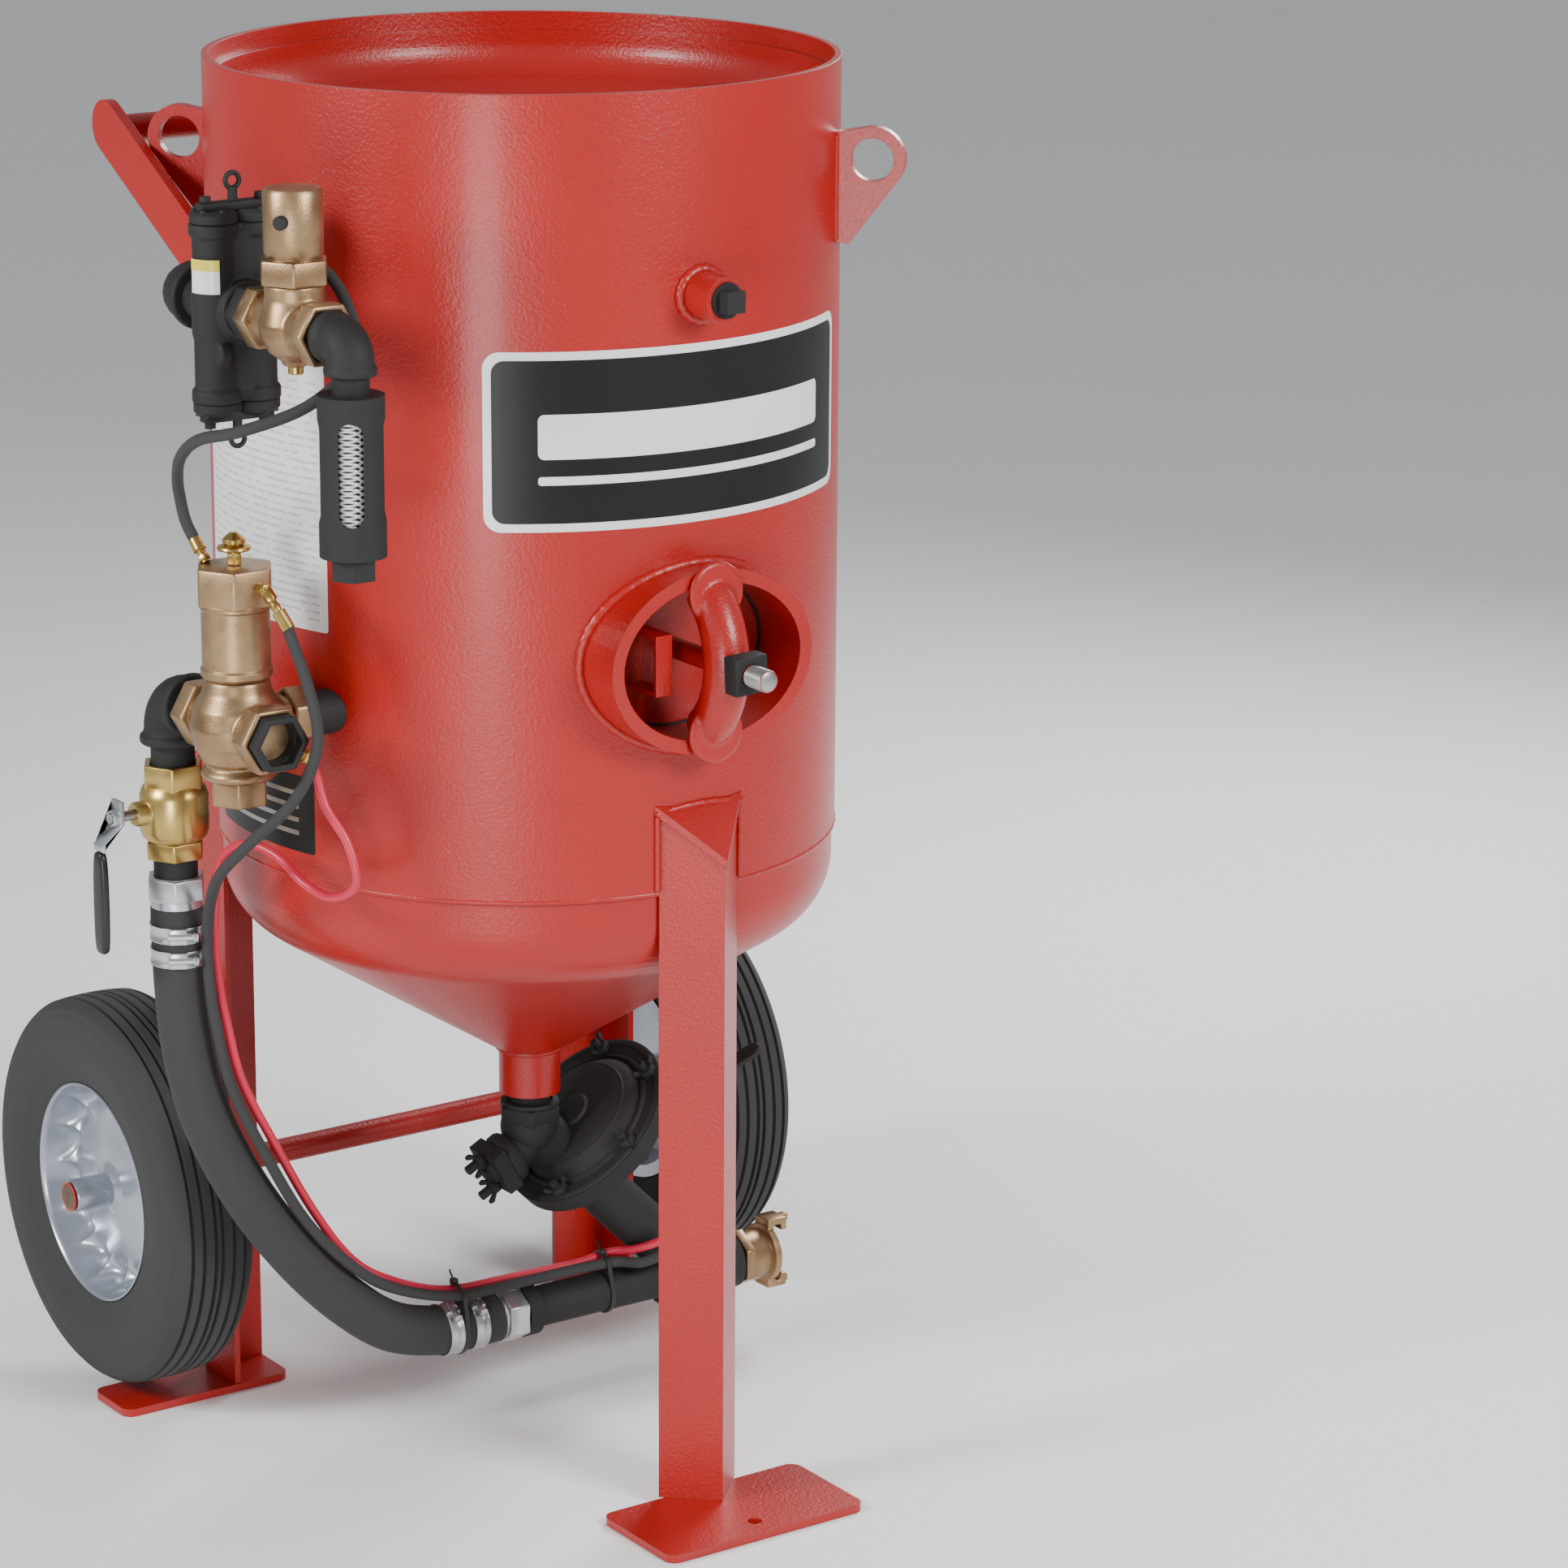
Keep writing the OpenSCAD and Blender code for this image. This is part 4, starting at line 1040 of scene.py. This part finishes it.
    def labels(self) -> None:
        """Puts on the plain front panel, the ruled placard and the nameplate."""
        Bench.settle(self.wrapped(-89, 40.5, 978, 1146, 0.02, 16), "front_panel_border", "label",
                     WHITE_FILM, ("label_plates",))
        for name, sheet, finish in (
                ("front_panel_field", (-89, 39.0, 986, 1138, 0.26, 12), DARK_FILM),
                ("front_panel_stripe", (-89, 31.0, 1046, 1088, 0.50, 6), WHITE_FILM),
                ("front_panel_line", (-89, 31.0, 1022, 1030, 0.50, 3), WHITE_FILM),
                ("placard", (180, 20.5, 868, 1130, 0.02, 3), WHITE_FILM),
                ("placard_ruling", (180, 18.8, 878, 1105, 0.24, 2), RULED_FILM),
                ("nameplate", (180, 16.5, 648, 723, 0.02, 3), DARK_FILM)):
            Bench.settle(self.wrapped(*sheet), name, "label", finish)
        for index, z in enumerate((664, 677, 690, 703)):
            Bench.settle(self.wrapped(180, 12.5, z, z + 4.5, 0.24, 1), f"nameplate_field_{index}", "label",
                         STEEL)

    def crab(self) -> None:
        """Models the handway's bent tube crab with its pads, square nut and stud."""
        x0, _, z0 = self.handway
        arch: list[Vector] = []
        for i in range(41):
            a = math.radians(-52 + 104 * i / 40)
            arch.append(at(x0, -(272.5 + 84 * math.cos(a)), z0 + 84 * math.sin(a)))
        parts = [Bench.run(arch, 21.8, 8)]
        for side in (-1, 1):
            parts.append(Bench.turned([(0, 0.4), (28.5, 0.4), (30, 2.5), (30, 5.5), (28, 7.5), (0, 8)],
                                      stand(x0, -335, z0 + side * 67, FRONT)))
        casting = Bench.cast(parts, 1.8, 5)
        Bench.settle(casting, "crab_look", "red_paint", RED, ("crab",), body="crab")
        nut = Bench.block((36, 36, 19.6), stand(x0, -378.5, z0, FRONT @ Matrix.Rotation(0.05, 4, "Z")), 1.6)
        Bench.drilled(nut, 11.0, 40, stand(x0, -370, z0, FRONT))
        Bench.settle(nut, "crab_nut_look", "black_iron", IRON, ("crab_nut",), body="crab_nut")
        threads: list[Pair] = [(9.0, 0)]
        for i in range(16):
            threads += [(10.05, i * 1.6 + 0.1), (10.6, i * 1.6 + 0.8)]
        threads += [(10.05, 25.6), (8.8, 26.4), (0, 26.6)]
        stud = Bench.turned(threads, stand(x0, -398.9, z0, FRONT), 28)
        Bench.settle(stud, "stud_thread", "black_iron", STEEL, body="handway_cover")

    def build(self) -> None:
        """Builds everything that the bare solids of the vessel lack."""
        self.welds()
        self.labels()
        self.crab()


# ---------------------------------------------------------------- wheels


@dataclass
class Wheel:
    """One wheel: ribbed tyre and pressed rim."""

    side: int
    middle: float = 326.0
    axle_y: float = 257.713
    axle_z: float = 219.0
    pockets: int = 14

    @property
    def label(self) -> str:
        """The name of this wheel's side."""
        return "left" if self.side < 0 else "right"

    def place(self) -> Matrix:
        """Where local +Z is the wheel's outer side."""
        return stand(self.side * self.middle, self.axle_y, self.axle_z, LEFT if self.side < 0 else RIGHT)

    def tyre(self) -> None:
        """Models the tyre with its sidewall rings and tread grooves."""
        half = [(108.4, 20.0), (110.2, 35.4), (113, 36.4), (117, 39.6), (121, 39.9), (126, 42.6),
                (131, 42.9), (134, 45.2), (150, 47.4), (158, 47.9), (168, 47.5), (172, 46.2), (175, 46.6),
                (183, 44.6), (186, 42.6), (189, 42.9), (194, 38.5), (197, 34.0), (198.2, 31.5),
                (194.6, 30.8), (194.6, 28.0), (198.6, 27.2), (199.4, 19.0), (195.4, 18.2), (195.4, 15.4),
                (199.6, 14.6), (199.9, 6.0), (195.6, 5.2), (195.6, 2.4), (199.9, 1.6)]
        profile = half + [(r, -h) for r, h in reversed(half)] + [half[0]]
        piece = Bench.turned(profile, self.place(), 112)
        Bench.settle(piece, f"{self.label}_tyre_look", "tyre_rubber", TYRE, (f"{self.label}_tyre",), 40,
                     f"{self.label}_wheel")

    def rim(self) -> None:
        """Models the pressed rim with its ring of pockets and its hub."""
        face = [(110.0, 35.4), (112.6, 36.8), (112.6, 38.4), (111.0, 39.0), (109.0, 37.6), (107.4, 34.0),
                (106.0, 30.0), (104.2, 26.0), (102.0, 22.0), (99.4, 18.6), (96.4, 15.6), (93.2, 13.0),
                (90.0, 11.0), (86.6, 9.4), (83.2, 8.4), (79.8, 7.8), (76.4, 7.6), (72.0, 7.8), (67.0, 8.4),
                (61.0, 9.4), (55.0, 10.6), (49.0, 12.0), (43.0, 13.4), (36.0, 14.8), (29.0, 16.0), (25.0, 16.8),
                (22.4, 18.6), (18.4, 20.0), (17.0, 21.0), (17.0, 59.5), (15.8, 61.0), (12.9, 61.0),
                (12.9, -61.0), (17.0, -61.0), (17.0, -6.0), (60.0, -4.0), (90.0, -6.0), (96.0, -22.0),
                (100.0, -36.4), (112.0, -36.4), (112.0, -39.0), (98.9, -39.0), (98.9, -10.0), (106.8, 24.0),
                (110.0, 35.4)]
        obj = Bench.turned(face, UP, 224)
        for vertex in obj.data.vertices:
            x, y, z = (v / MM for v in vertex.co)
            r = math.hypot(x, y)
            if 66 < r < 108 and z > 7:
                wave = abs(math.cos(self.pockets / 2 * math.atan2(y, x))) ** 0.8
                fall = math.exp(-((r - 93) / 9.0) ** 2)
                vertex.co.z -= 11.0 * fall * wave * MM
                vertex.co.x += 4.0 * fall * wave * x / r * MM
                vertex.co.y += 4.0 * fall * wave * y / r * MM
        Bench.place(obj, self.place())
        Bench.settle(obj, f"{self.label}_rim_look", "rim_paint", RIM, (f"{self.label}_rim",), 40,
                     f"{self.label}_wheel")
        end = Bench.turned([(12.95, 61.2), (13.3, 62.0), (13.3, 63.8), (12.2, 64.6), (9.0, 64.6),
                            (4.0, 64.4), (0, 64.4)], self.place(), 40)
        Bench.settle(end, f"{self.label}_axle_end", "red_paint", WORN_STEEL)

    def build(self) -> None:
        """Builds the wheel."""
        self.tyre()
        self.rim()


# ---------------------------------------------------------------- upper and lower gear


@dataclass
class UpperGear:
    """Air trap, exhaust valve and the elbows toward the muffler, high on the left side."""

    z: float = 1188.0
    trap_y: float = -116.0
    valve_y: float = -225.0
    muffler_y: float = -321.0

    def elbow(self, corner: Point, first: Matrix, second: Matrix, reach: Pair, body: float = 27.2,
              bead: float = 31.0) -> bpy.types.Object:
        """A cast iron elbow with beaded mouths.

        Args:
            corner: Where its two centre lines meet.
            first: Turn of its first leg.
            second: Turn of its second leg.
            reach: Length of both legs.
            body: Radius of its bend.
            bead: Radius of its mouths.

        Returns:
            The mesh object.
        """
        parts: list[bpy.types.Object] = []
        a = (first @ Vector((0, 0, 1, 0))).to_3d()
        b = (second @ Vector((0, 0, 1, 0))).to_3d()
        c = Vector(corner)
        bend = min(reach) - 12.0
        line = [at(*(c + a * (reach[0] - 4))), at(*(c + a * bend))]
        for i in range(1, 10):
            t = math.pi / 2 * i / 10
            line.append(at(*(c + a * bend * (1 - math.sin(t)) + b * bend * (1 - math.cos(t)))))
        line += [at(*(c + b * bend)), at(*(c + b * (reach[1] - 4)))]
        parts.append(Bench.run(line, body, 8))
        for turn, length in ((first, reach[0]), (second, reach[1])):
            mouth = [(0, length - 11), (body, length - 11), (bead, length - 8), (bead, length - 2),
                     (bead - 1.6, length - 0.4), (0, length - 0.4)]
            parts.append(Bench.turned(mouth, stand(*corner, turn)))
        return Bench.cast(parts, 1.5, 3)

    def elbows(self) -> None:
        """Builds the three elbows of the pipework."""
        parts = [self.elbow((GEAR_X, -12, self.z), FRONT, RIGHT, (44, 44)),
                 self.elbow((GEAR_X, self.muffler_y, self.z), BACK, DOWN, (35, 30), 21.6, 24),
                 self.elbow((GEAR_X, 25, 793), FRONT, DOWN, (45, 45))]
        Bench.settle(parts, "pipe_elbows_look", "black_iron", IRON, ("pipe_elbows",), 50)

    def trap(self) -> None:
        """Models the twin-lobed trap with ribs, bosses, covers and eye screws."""
        parts: list[bpy.types.Object] = []
        for side in (-20, 20):
            parts.append(Bench.turned([(0, 1103), (22.4, 1103), (23, 1104), (23, 1114), (20, 1117), (20, 1160),
                                       (21.6, 1166), (21.6, 1206), (20, 1212), (20, 1253), (23, 1256), (23, 1266),
                                       (22.4, 1267), (0, 1267)], stand(GEAR_X + side, self.trap_y, 0), 40))
        parts.append(Bench.block((40, 34, 150), stand(GEAR_X, self.trap_y, 1110), 3))
        parts.append(Bench.rod(28, 60, stand(GEAR_X, self.trap_y - 28, self.z, BACK), 2))
        parts.append(Bench.rod(13, 12, stand(GEAR_X - 16, self.trap_y - 12, 1150, LEFT), 2))
        for z in (1124, 1244):
            parts.append(Bench.block((74, 20, 6), stand(GEAR_X, self.trap_y, z), 2))
        Bench.settle(Bench.cast(parts, 1.5, 3), "trap_body_look", "black_iron", IRON, ("trap_body",), 50)
        covers: list[bpy.types.Object] = []
        for sign in (1, -1):
            base = stand(GEAR_X, self.trap_y, 1185) @ (UP if sign > 0 else DOWN)
            for side in (-20, 20):
                covers.append(Bench.turned([(0, 82.2), (21.4, 82.2), (22, 83), (22, 90), (19, 93), (0, 94)],
                                           base @ shift(side, 0, 0), 40))
                for angle in range(30, 390, 60):
                    a = math.radians(angle)
                    if abs(side + 18 * math.cos(a)) > 6:
                        spot = base @ shift(side + 17 * math.cos(a), 17 * math.sin(a), 91)
                        covers.append(Bench.hexagon(6, 4, spot, 0, 0.5))
            yoke = [(-36, -6), (-28, -8), (28, -8), (36, -6), (36, 6), (28, 8), (-28, 8), (-36, 6)]
            covers.append(Bench.slab(yoke, 8, base @ shift(0, 0, 92.2), 1.6))
            for x in (-28, 28):
                covers.append(Bench.hexagon(10, 6, base @ shift(x, 0, 100), 0, 0.8))
            covers.append(Bench.rod(4.5, 14, base @ shift(0, 0, 99), 0.8, 20))
            loop = [base @ (Vector((7 * math.cos(t), 0, 118.4 + 7 * math.sin(t))) * MM)
                    for t in angles(24)]
            covers.append(Bench.run(loop, 2.4, 3, True))
        Bench.settle(covers, "trap_covers_look", "black_iron", IRON, ("trap_covers",))
        for name, low, high, finish in (("trap_label", 1205, 1236, WHITE_FILM),
                                        ("trap_label_stripe", 1226, 1236, YELLOW_FILM)):
            obj = Bench.slab([(-15, low), (15, low), (15, high), (-15, high)], 0.3, UP, 0)
            Bench.pick(obj)
            bpy.ops.object.mode_set(mode="EDIT")
            for i in range(1, 14):
                bpy.ops.mesh.select_all(action="SELECT")
                bpy.ops.mesh.bisect(plane_co=((-15 + 30 * i / 14) * MM, 0, 0), plane_no=(1, 0, 0))
            bpy.ops.object.mode_set(mode="OBJECT")
            lift = 22.0 if finish is WHITE_FILM else 22.4
            for vertex in obj.data.vertices:
                turn = math.radians(214) + vertex.co.x / (lift * MM)
                reach = lift + vertex.co.z / MM
                vertex.co = at(GEAR_X - 20 + reach * math.cos(turn), self.trap_y + reach * math.sin(turn),
                               vertex.co.y / MM)
            Bench.settle(obj, name, "label", finish)

    def valve(self) -> None:
        """Models the cast exhaust valve and its bonnet."""
        place = stand(GEAR_X, self.valve_y, self.z)
        parts = [Bench.turned([(0, -33), (12, -32), (24, -24), (31, -10), (33, 2), (30, 14), (27, 24), (27, 38),
                               (0, 38)], place, 48),
                 Bench.rod(24.5, 104, place @ shift(0, -52, 0) @ BACK, 2),
                 Bench.rod(12, 8, place @ shift(0, 0, -36), 1.5)]
        body = Bench.cast(parts, 1.4, 4)
        ends = [Bench.hexagon(54, 19.6, place @ shift(0, y, 0) @ BACK, 21.4, 1.6)
                for y in (-59.8, 40.2)]
        Bench.settle([body, *ends], "exhaust_body_look", "bronze", BRONZE, ("exhaust_body",), 45)
        bonnet = [Bench.hexagon(58, 22.6, place @ shift(0, 0, 38.2), 0, 1.8),
                  Bench.turned([(0, 60), (25.6, 60), (25.6, 64), (27, 66), (27, 120), (25, 123.4), (18, 123.9),
                                (0, 123.9)], place, 56)]
        Bench.settle(bonnet, "exhaust_bonnet_look", "bronze", BRONZE, ("exhaust_bonnet",))
        lean = spin(38) @ LEFT
        knob = Bench.rod(6.4, 8, place @ shift(0, 0, 96) @ lean, 1, 24, 24.5)
        Bench.settle(knob, "exhaust_set_screw", "black_iron", IRON)

    def build(self) -> None:
        """Builds the upper gear."""
        self.elbows()
        self.trap()
        self.valve()


@dataclass
class LowerGear:
    """Inlet valve, its bushing, ball valve and brass fittings."""

    y: float = -104.0
    z: float = 793.0
    drop_y: float = 25.0
    ball_z: float = 683.0

    def valve(self) -> None:
        """Models the cast inlet valve and its capped bonnet."""
        place = stand(GEAR_X, self.y, self.z)
        parts = [Bench.turned([(0, -44), (20, -43), (34, -32), (43, -14), (45, 2), (41, 20), (33, 34),
                               (30, 46.8), (0, 46.8)], place, 56),
                 Bench.rod(26, 120, place @ shift(0, -60, 0) @ BACK, 2), Bench.rod(23, 62, place @ RIGHT, 2),
                 Bench.turned([(0, -50), (33, -49), (35.5, -46), (35.5, -42), (30, -36), (0, -34)], place, 56)]
        casting = Bench.cast(parts, 1.6, 4)
        ends = [Bench.hexagon(60, 22, place @ shift(0, -70, 0) @ BACK, 24.2, 2.0),
                Bench.hexagon(60, 22, place @ shift(0, 48, 0) @ BACK, 21.4, 2.0),
                Bench.hexagon(52, 20, place @ shift(48, 0, 0) @ RIGHT, 21.4, 2.0),
                Bench.hexagon(50, 26, place @ shift(0, 0, -74), 0, 2.0)]
        Bench.settle([casting, *ends], "inlet_body_look", "bronze", BRONZE, ("inlet_body",), 45)
        bonnet = [Bench.turned([(0, 47.2), (31, 47.2), (33.5, 50), (33.5, 56), (32, 58), (32, 112), (33.5, 114),
                                (33.5, 118), (0, 118)], place, 56),
                  Bench.hexagon(67, 36, place @ shift(0, 0, 117), 0, 2.2)]
        Bench.settle(bonnet, "inlet_bonnet_look", "bronze", BRONZE, ("inlet_bonnet",))
        bushing = [Bench.hexagon(50, 13, place @ shift(0, -70.1, 0) @ FRONT, 19.2, 1.5),
                   Bench.tube(23.8, 19.2, 14, place @ shift(0, -58.5, 0) @ FRONT, 0.8),
                   Bench.hexagon(48, 19.6, stand(GEAR_X, -144.2, 1188, FRONT), 21.3, 1.6)]
        Bench.settle(bushing, "hex_bushings_look", "black_iron", IRON, ("hex_bushings",))

    def fittings(self, hoses: Hoses) -> None:
        """Models the breather, elbows and hose ends in brass.

        Args:
            hoses: The hoses that the ends lead to.
        """
        cap = self.z + 154
        parts = [Bench.hexagon(13, 10, stand(GEAR_X, self.y, cap), 0, 0.6),
                 Bench.turned([(0, 10), (6, 10), (6, 13), (15, 13.5), (16, 15), (15, 17), (8, 19), (11, 20.5),
                               (10.5, 24), (6, 28), (3.5, 30), (0, 30)], stand(GEAR_X, self.y, cap), 32)]
        ends = ((Vector((GEAR_X - 18, self.y + 22, cap + 1)), Vector(hoses.exhaust[-1])),
                (Vector((GEAR_X + 8, self.y - 44, cap - 18)), Vector(hoses.inlet[0])),
                (Vector((GEAR_X + 26, self.y - 59, self.z - 15)), Vector(hoses.red[0])),
                (Vector((GEAR_X + 25.16, -210.48, 1233)), Vector(hoses.exhaust[0])))
        for start, end in ends:
            turn = (end - start).to_track_quat("Z", "Y").to_matrix().to_4x4()
            length = (end - start).length
            foot = Matrix.Translation(at(*start)) @ turn
            barb = [(0, -2), (4, -2), (4, length * 0.4), (4.8, length * 0.45), (4.0, length * 0.6),
                    (6.4, length * 0.62), (6.4, length + 5), (5.8, length + 5), (5.8, length), (0, length)]
            parts.append(Bench.turned(barb, foot, 24))
            parts.append(Bench.hexagon(10.5, max(length * 0.3, 4), foot, 0, 0.5))
        parts.append(Bench.hexagon(12, 12, stand(GEAR_X + 8, self.y - 33.5, cap - 18, FRONT), 0, 0.6))
        parts.append(Bench.rod(7, 8, stand(GEAR_X, -225, 1144.2), 1, 24))
        Bench.settle(parts, "brass_fittings_look", "brass", BRASS, ("brass_fittings",))

    def ball_valve(self) -> None:
        """Models the ball valve, its bent lever and its dipped grip."""
        place = stand(GEAR_X, self.drop_y, self.ball_z)
        parts = [Bench.turned([(21.3, -30), (27, -30), (31, -26), (33, -20), (33, 14), (31, 20), (28.5, 24),
                               (21.3, 24), (21.3, -30)], place, 56),
                 Bench.hexagon(54, 24, place @ shift(0, 0, 21.8), 21.3, 1.8),
                 Bench.hexagon(52, 17.6, place @ shift(0, 0, -47.8), 21.3, 1.8),
                 Bench.turned([(5.2, 30), (13, 30), (12, 34), (12, 41), (10.5, 44), (5.2, 44), (5.2, 30)],
                              place @ LEFT, 36)]
        Bench.settle(parts, "ball_valve_body_look", "brass", BRASS, ("ball_valve_body",))
        strap = [(-58, 17), (-62, 17), (-62, -7), (-82, -24), (-82, -30), (-78.2, -30), (-78.2, -22.3),
                 (-58, -5.3)]
        lever = Bench.slab(strap, 20, place @ shift(0, 10, 0) @ FRONT, 1.0)
        nut = Bench.hexagon(15, 6.5, place @ shift(-62, 0, 0) @ LEFT, 5.1, 0.8)
        stop = Bench.block((5, 8, 14), place @ shift(-60, 13, -14), 1)
        Bench.settle([lever, nut, stop], "ball_lever_look", "zinc", ZINC, ("ball_lever",),
                     body="ball_valve")
        outline = [(-5, 0), (5, 0), (8.5, -5), (11, -22), (11.4, -60), (10.6, -92), (7.5, -100), (3, -102),
                   (-3, -102), (-7.5, -100), (-10.6, -92), (-11.4, -60), (-11, -22), (-8.5, -5)]
        grip = Bench.slab(outline, 9, place @ shift(-84.6, 0, -30) @ spin(90) @ FRONT, 3.4)
        Bench.apply(grip, "SUBSURF", levels=1, render_levels=1)
        Bench.settle(grip, "lever_grip_look", "grip_plastic", VINYL, ("lever_grip",), body="ball_valve")

    def build(self, hoses: Hoses) -> None:
        """Builds the lower gear.

        Args:
            hoses: The hoses that it meets.
        """
        self.valve()
        self.fittings(hoses)
        self.ball_valve()


METER = stand(72, 0, 279) @ spin(-45, "Y")


@dataclass
class Metering:
    """The tilted metering valve and the outlet coupling."""

    bolts: int = 6
    wing_step: float = math.degrees(0.7)

    def housing(self) -> None:
        """Adds the ringed cover dome and the bolts with wing nuts over the plain housing halves, then the
        clean-out.
        """
        dome = Bench.turned([(96.0, 12.05), (97.4, 12.6), (96.0, 13.6), (91.0, 13.8), (90.0, 12.6), (80.0, 12.6),
                             (78.5, 15.4), (76.0, 15.8), (74.4, 13.4), (72.4, 14.4), (69.0, 19.0), (64.0, 23.4),
                             (57.0, 26.6), (46.0, 28.2), (30.0, 29.2), (20.0, 30.0), (18.0, 33.0), (14.0, 34.4),
                             (0, 34.6)], METER, 84)
        Bench.settle(dome, "metering_cover_dome", "black_iron", IRON)
        nuts: list[bpy.types.Object] = []
        for i in range(self.bolts):
            spot = spin(60 * i + 30) @ shift(86, 0, 12)
            nuts.append(Bench.hexagon(17, 9, METER @ spot, 0, 1.0))
            nuts.append(Bench.rod(4.4, 17, METER @ spot, 0.8, 20))
            for turn in HALF_TURNS:
                wing = [(5, 4), (9, 5), (14, 11), (13, 15), (10, 15), (7, 9.5), (5, 9)]
                lean = spin(turn + self.wing_step * i) @ shift(0, 2, 0)
                nuts.append(Bench.slab(wing, 4, METER @ spot @ lean @ FRONT, 1.0))
        Bench.settle(nuts, "metering_wing_nuts", "black_iron", IRON)
        self.cleanout()

    def cleanout(self) -> None:
        """Adds the clean-out's collar, cap, studs and wing nuts, and a hex and a ring on the centre line."""
        port = stand(0, 0, 280.4) @ spin(-118, "Y")
        parts = [Bench.turned([(22, 24), (26, 25), (27.5, 28), (27.5, 35), (25, 37.8), (22, 37.8)], port, 48),
                 Bench.turned([(0, 53.8), (14, 53.8), (13, 57), (8, 59), (0, 60)], port, 32)]
        for side in (-1, 1):
            parts.append(Bench.rod(5, 26, port @ shift(side * 17, 0, 50), 0.8, 20))
            parts.append(Bench.hexagon(15, 8, port @ shift(side * 17, 0, 55), 0, 1.0))
            for flip in HALF_TURNS:
                wing = [(4, 58), (8, 59), (15, 66), (14, 71), (11, 71), (7, 64), (4, 63)]
                turn = spin(flip) @ shift(0, 2, 0) @ FRONT
                parts.append(Bench.slab(wing, 4, port @ shift(side * 17, 0, 0) @ turn, 1.0))
        parts.append(Bench.hexagon(58, 15.6, stand(0, 0, 302.6), 0, 2.0))
        parts.append(Bench.turned([(23, 318.2), (29, 318.2), (30, 320), (29, 323), (23, 324)],
                                  stand(0, 0, 0), 48))
        Bench.settle(parts, "cleanout_fittings", "black_iron", IRON)

    def lever(self) -> None:
        """Models the flat lever under the housing, with its hub."""
        base = METER @ shift(0, 0, -34) @ spin(-35)
        bar = Bench.slab([(0, -9), (186, -9), (192, -6.5), (195, 0), (192, 6.5), (186, 9), (0, 9)], 6,
                         base @ shift(0, 0, 2), 1.2)
        hub = Bench.tube(10, 6, 10, base, 1.0)
        Bench.settle([bar, hub], "metering_lever_look", "black_iron", IRON, ("metering_lever",),
                     body="metering")

    def coupling(self) -> None:
        """Models the bronze claw coupling at the outlet."""
        place = stand(250, 0, 97, RIGHT)
        shell = Bench.turned([(21.3, 0.2), (25.5, 0.2), (27, 2), (27, 30), (25.6, 33), (31, 34.6), (31, 41.6),
                              (22.2, 41.8), (22.2, 34.4), (16.1, 34.2), (16.1, 20), (21.3, 19.5), (21.3, 0.2)],
                             place, 56)
        collar = Bench.hexagon(54, 11.6, place, 21.4, 1.6)
        claws: list[bpy.types.Object] = []
        for flip in HALF_TURNS:
            turn = place @ spin(flip)
            hook = [(24, 36), (38, 36), (38, 60), (24, 60), (24, 52.5), (31, 52.5), (31, 44), (24, 44)]
            claws.append(Bench.slab(hook, 26, turn @ shift(0, 13, 0) @ FRONT, 2.0))
            claws.append(Bench.block((8, 8, 10), turn @ shift(34, 0, 58), 1.6))
        Bench.settle([shell, collar, *claws], "quick_coupling_look", "bronze", BRONZE,
                     ("quick_coupling",))

    def build(self) -> None:
        """Builds the metering valve's looks and the coupling."""
        self.housing()
        self.lever()
        self.coupling()


# ---------------------------------------------------------------- assembly


def dress_nodes(frame: dict) -> None:
    """Gives every CAD node its finish.

    Args:
        frame: The loaded frame.
    """
    for name, node in frame["nodes"].items():
        finish = NODE_FINISH[name]
        node.data.materials.clear()
        node.data.materials.append(finish.material())
        log.info("%s is finished in %s", name, finish.name)


def main() -> None:
    """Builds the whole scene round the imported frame."""
    logging.basicConfig(level=logging.INFO, format="%(message)s")
    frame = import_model()
    studio = Studio()
    studio.set_camera()
    hoses = Hoses()
    hoses.build()
    dress_nodes(frame)
    Vessel().build()
    for side in (-1, 1):
        Wheel(side).build()
    UpperGear().build()
    LowerGear().build(hoses)
    Metering().build()
    studio.set_floor()
    studio.set_lights()


if __name__ == "__main__":
    main()
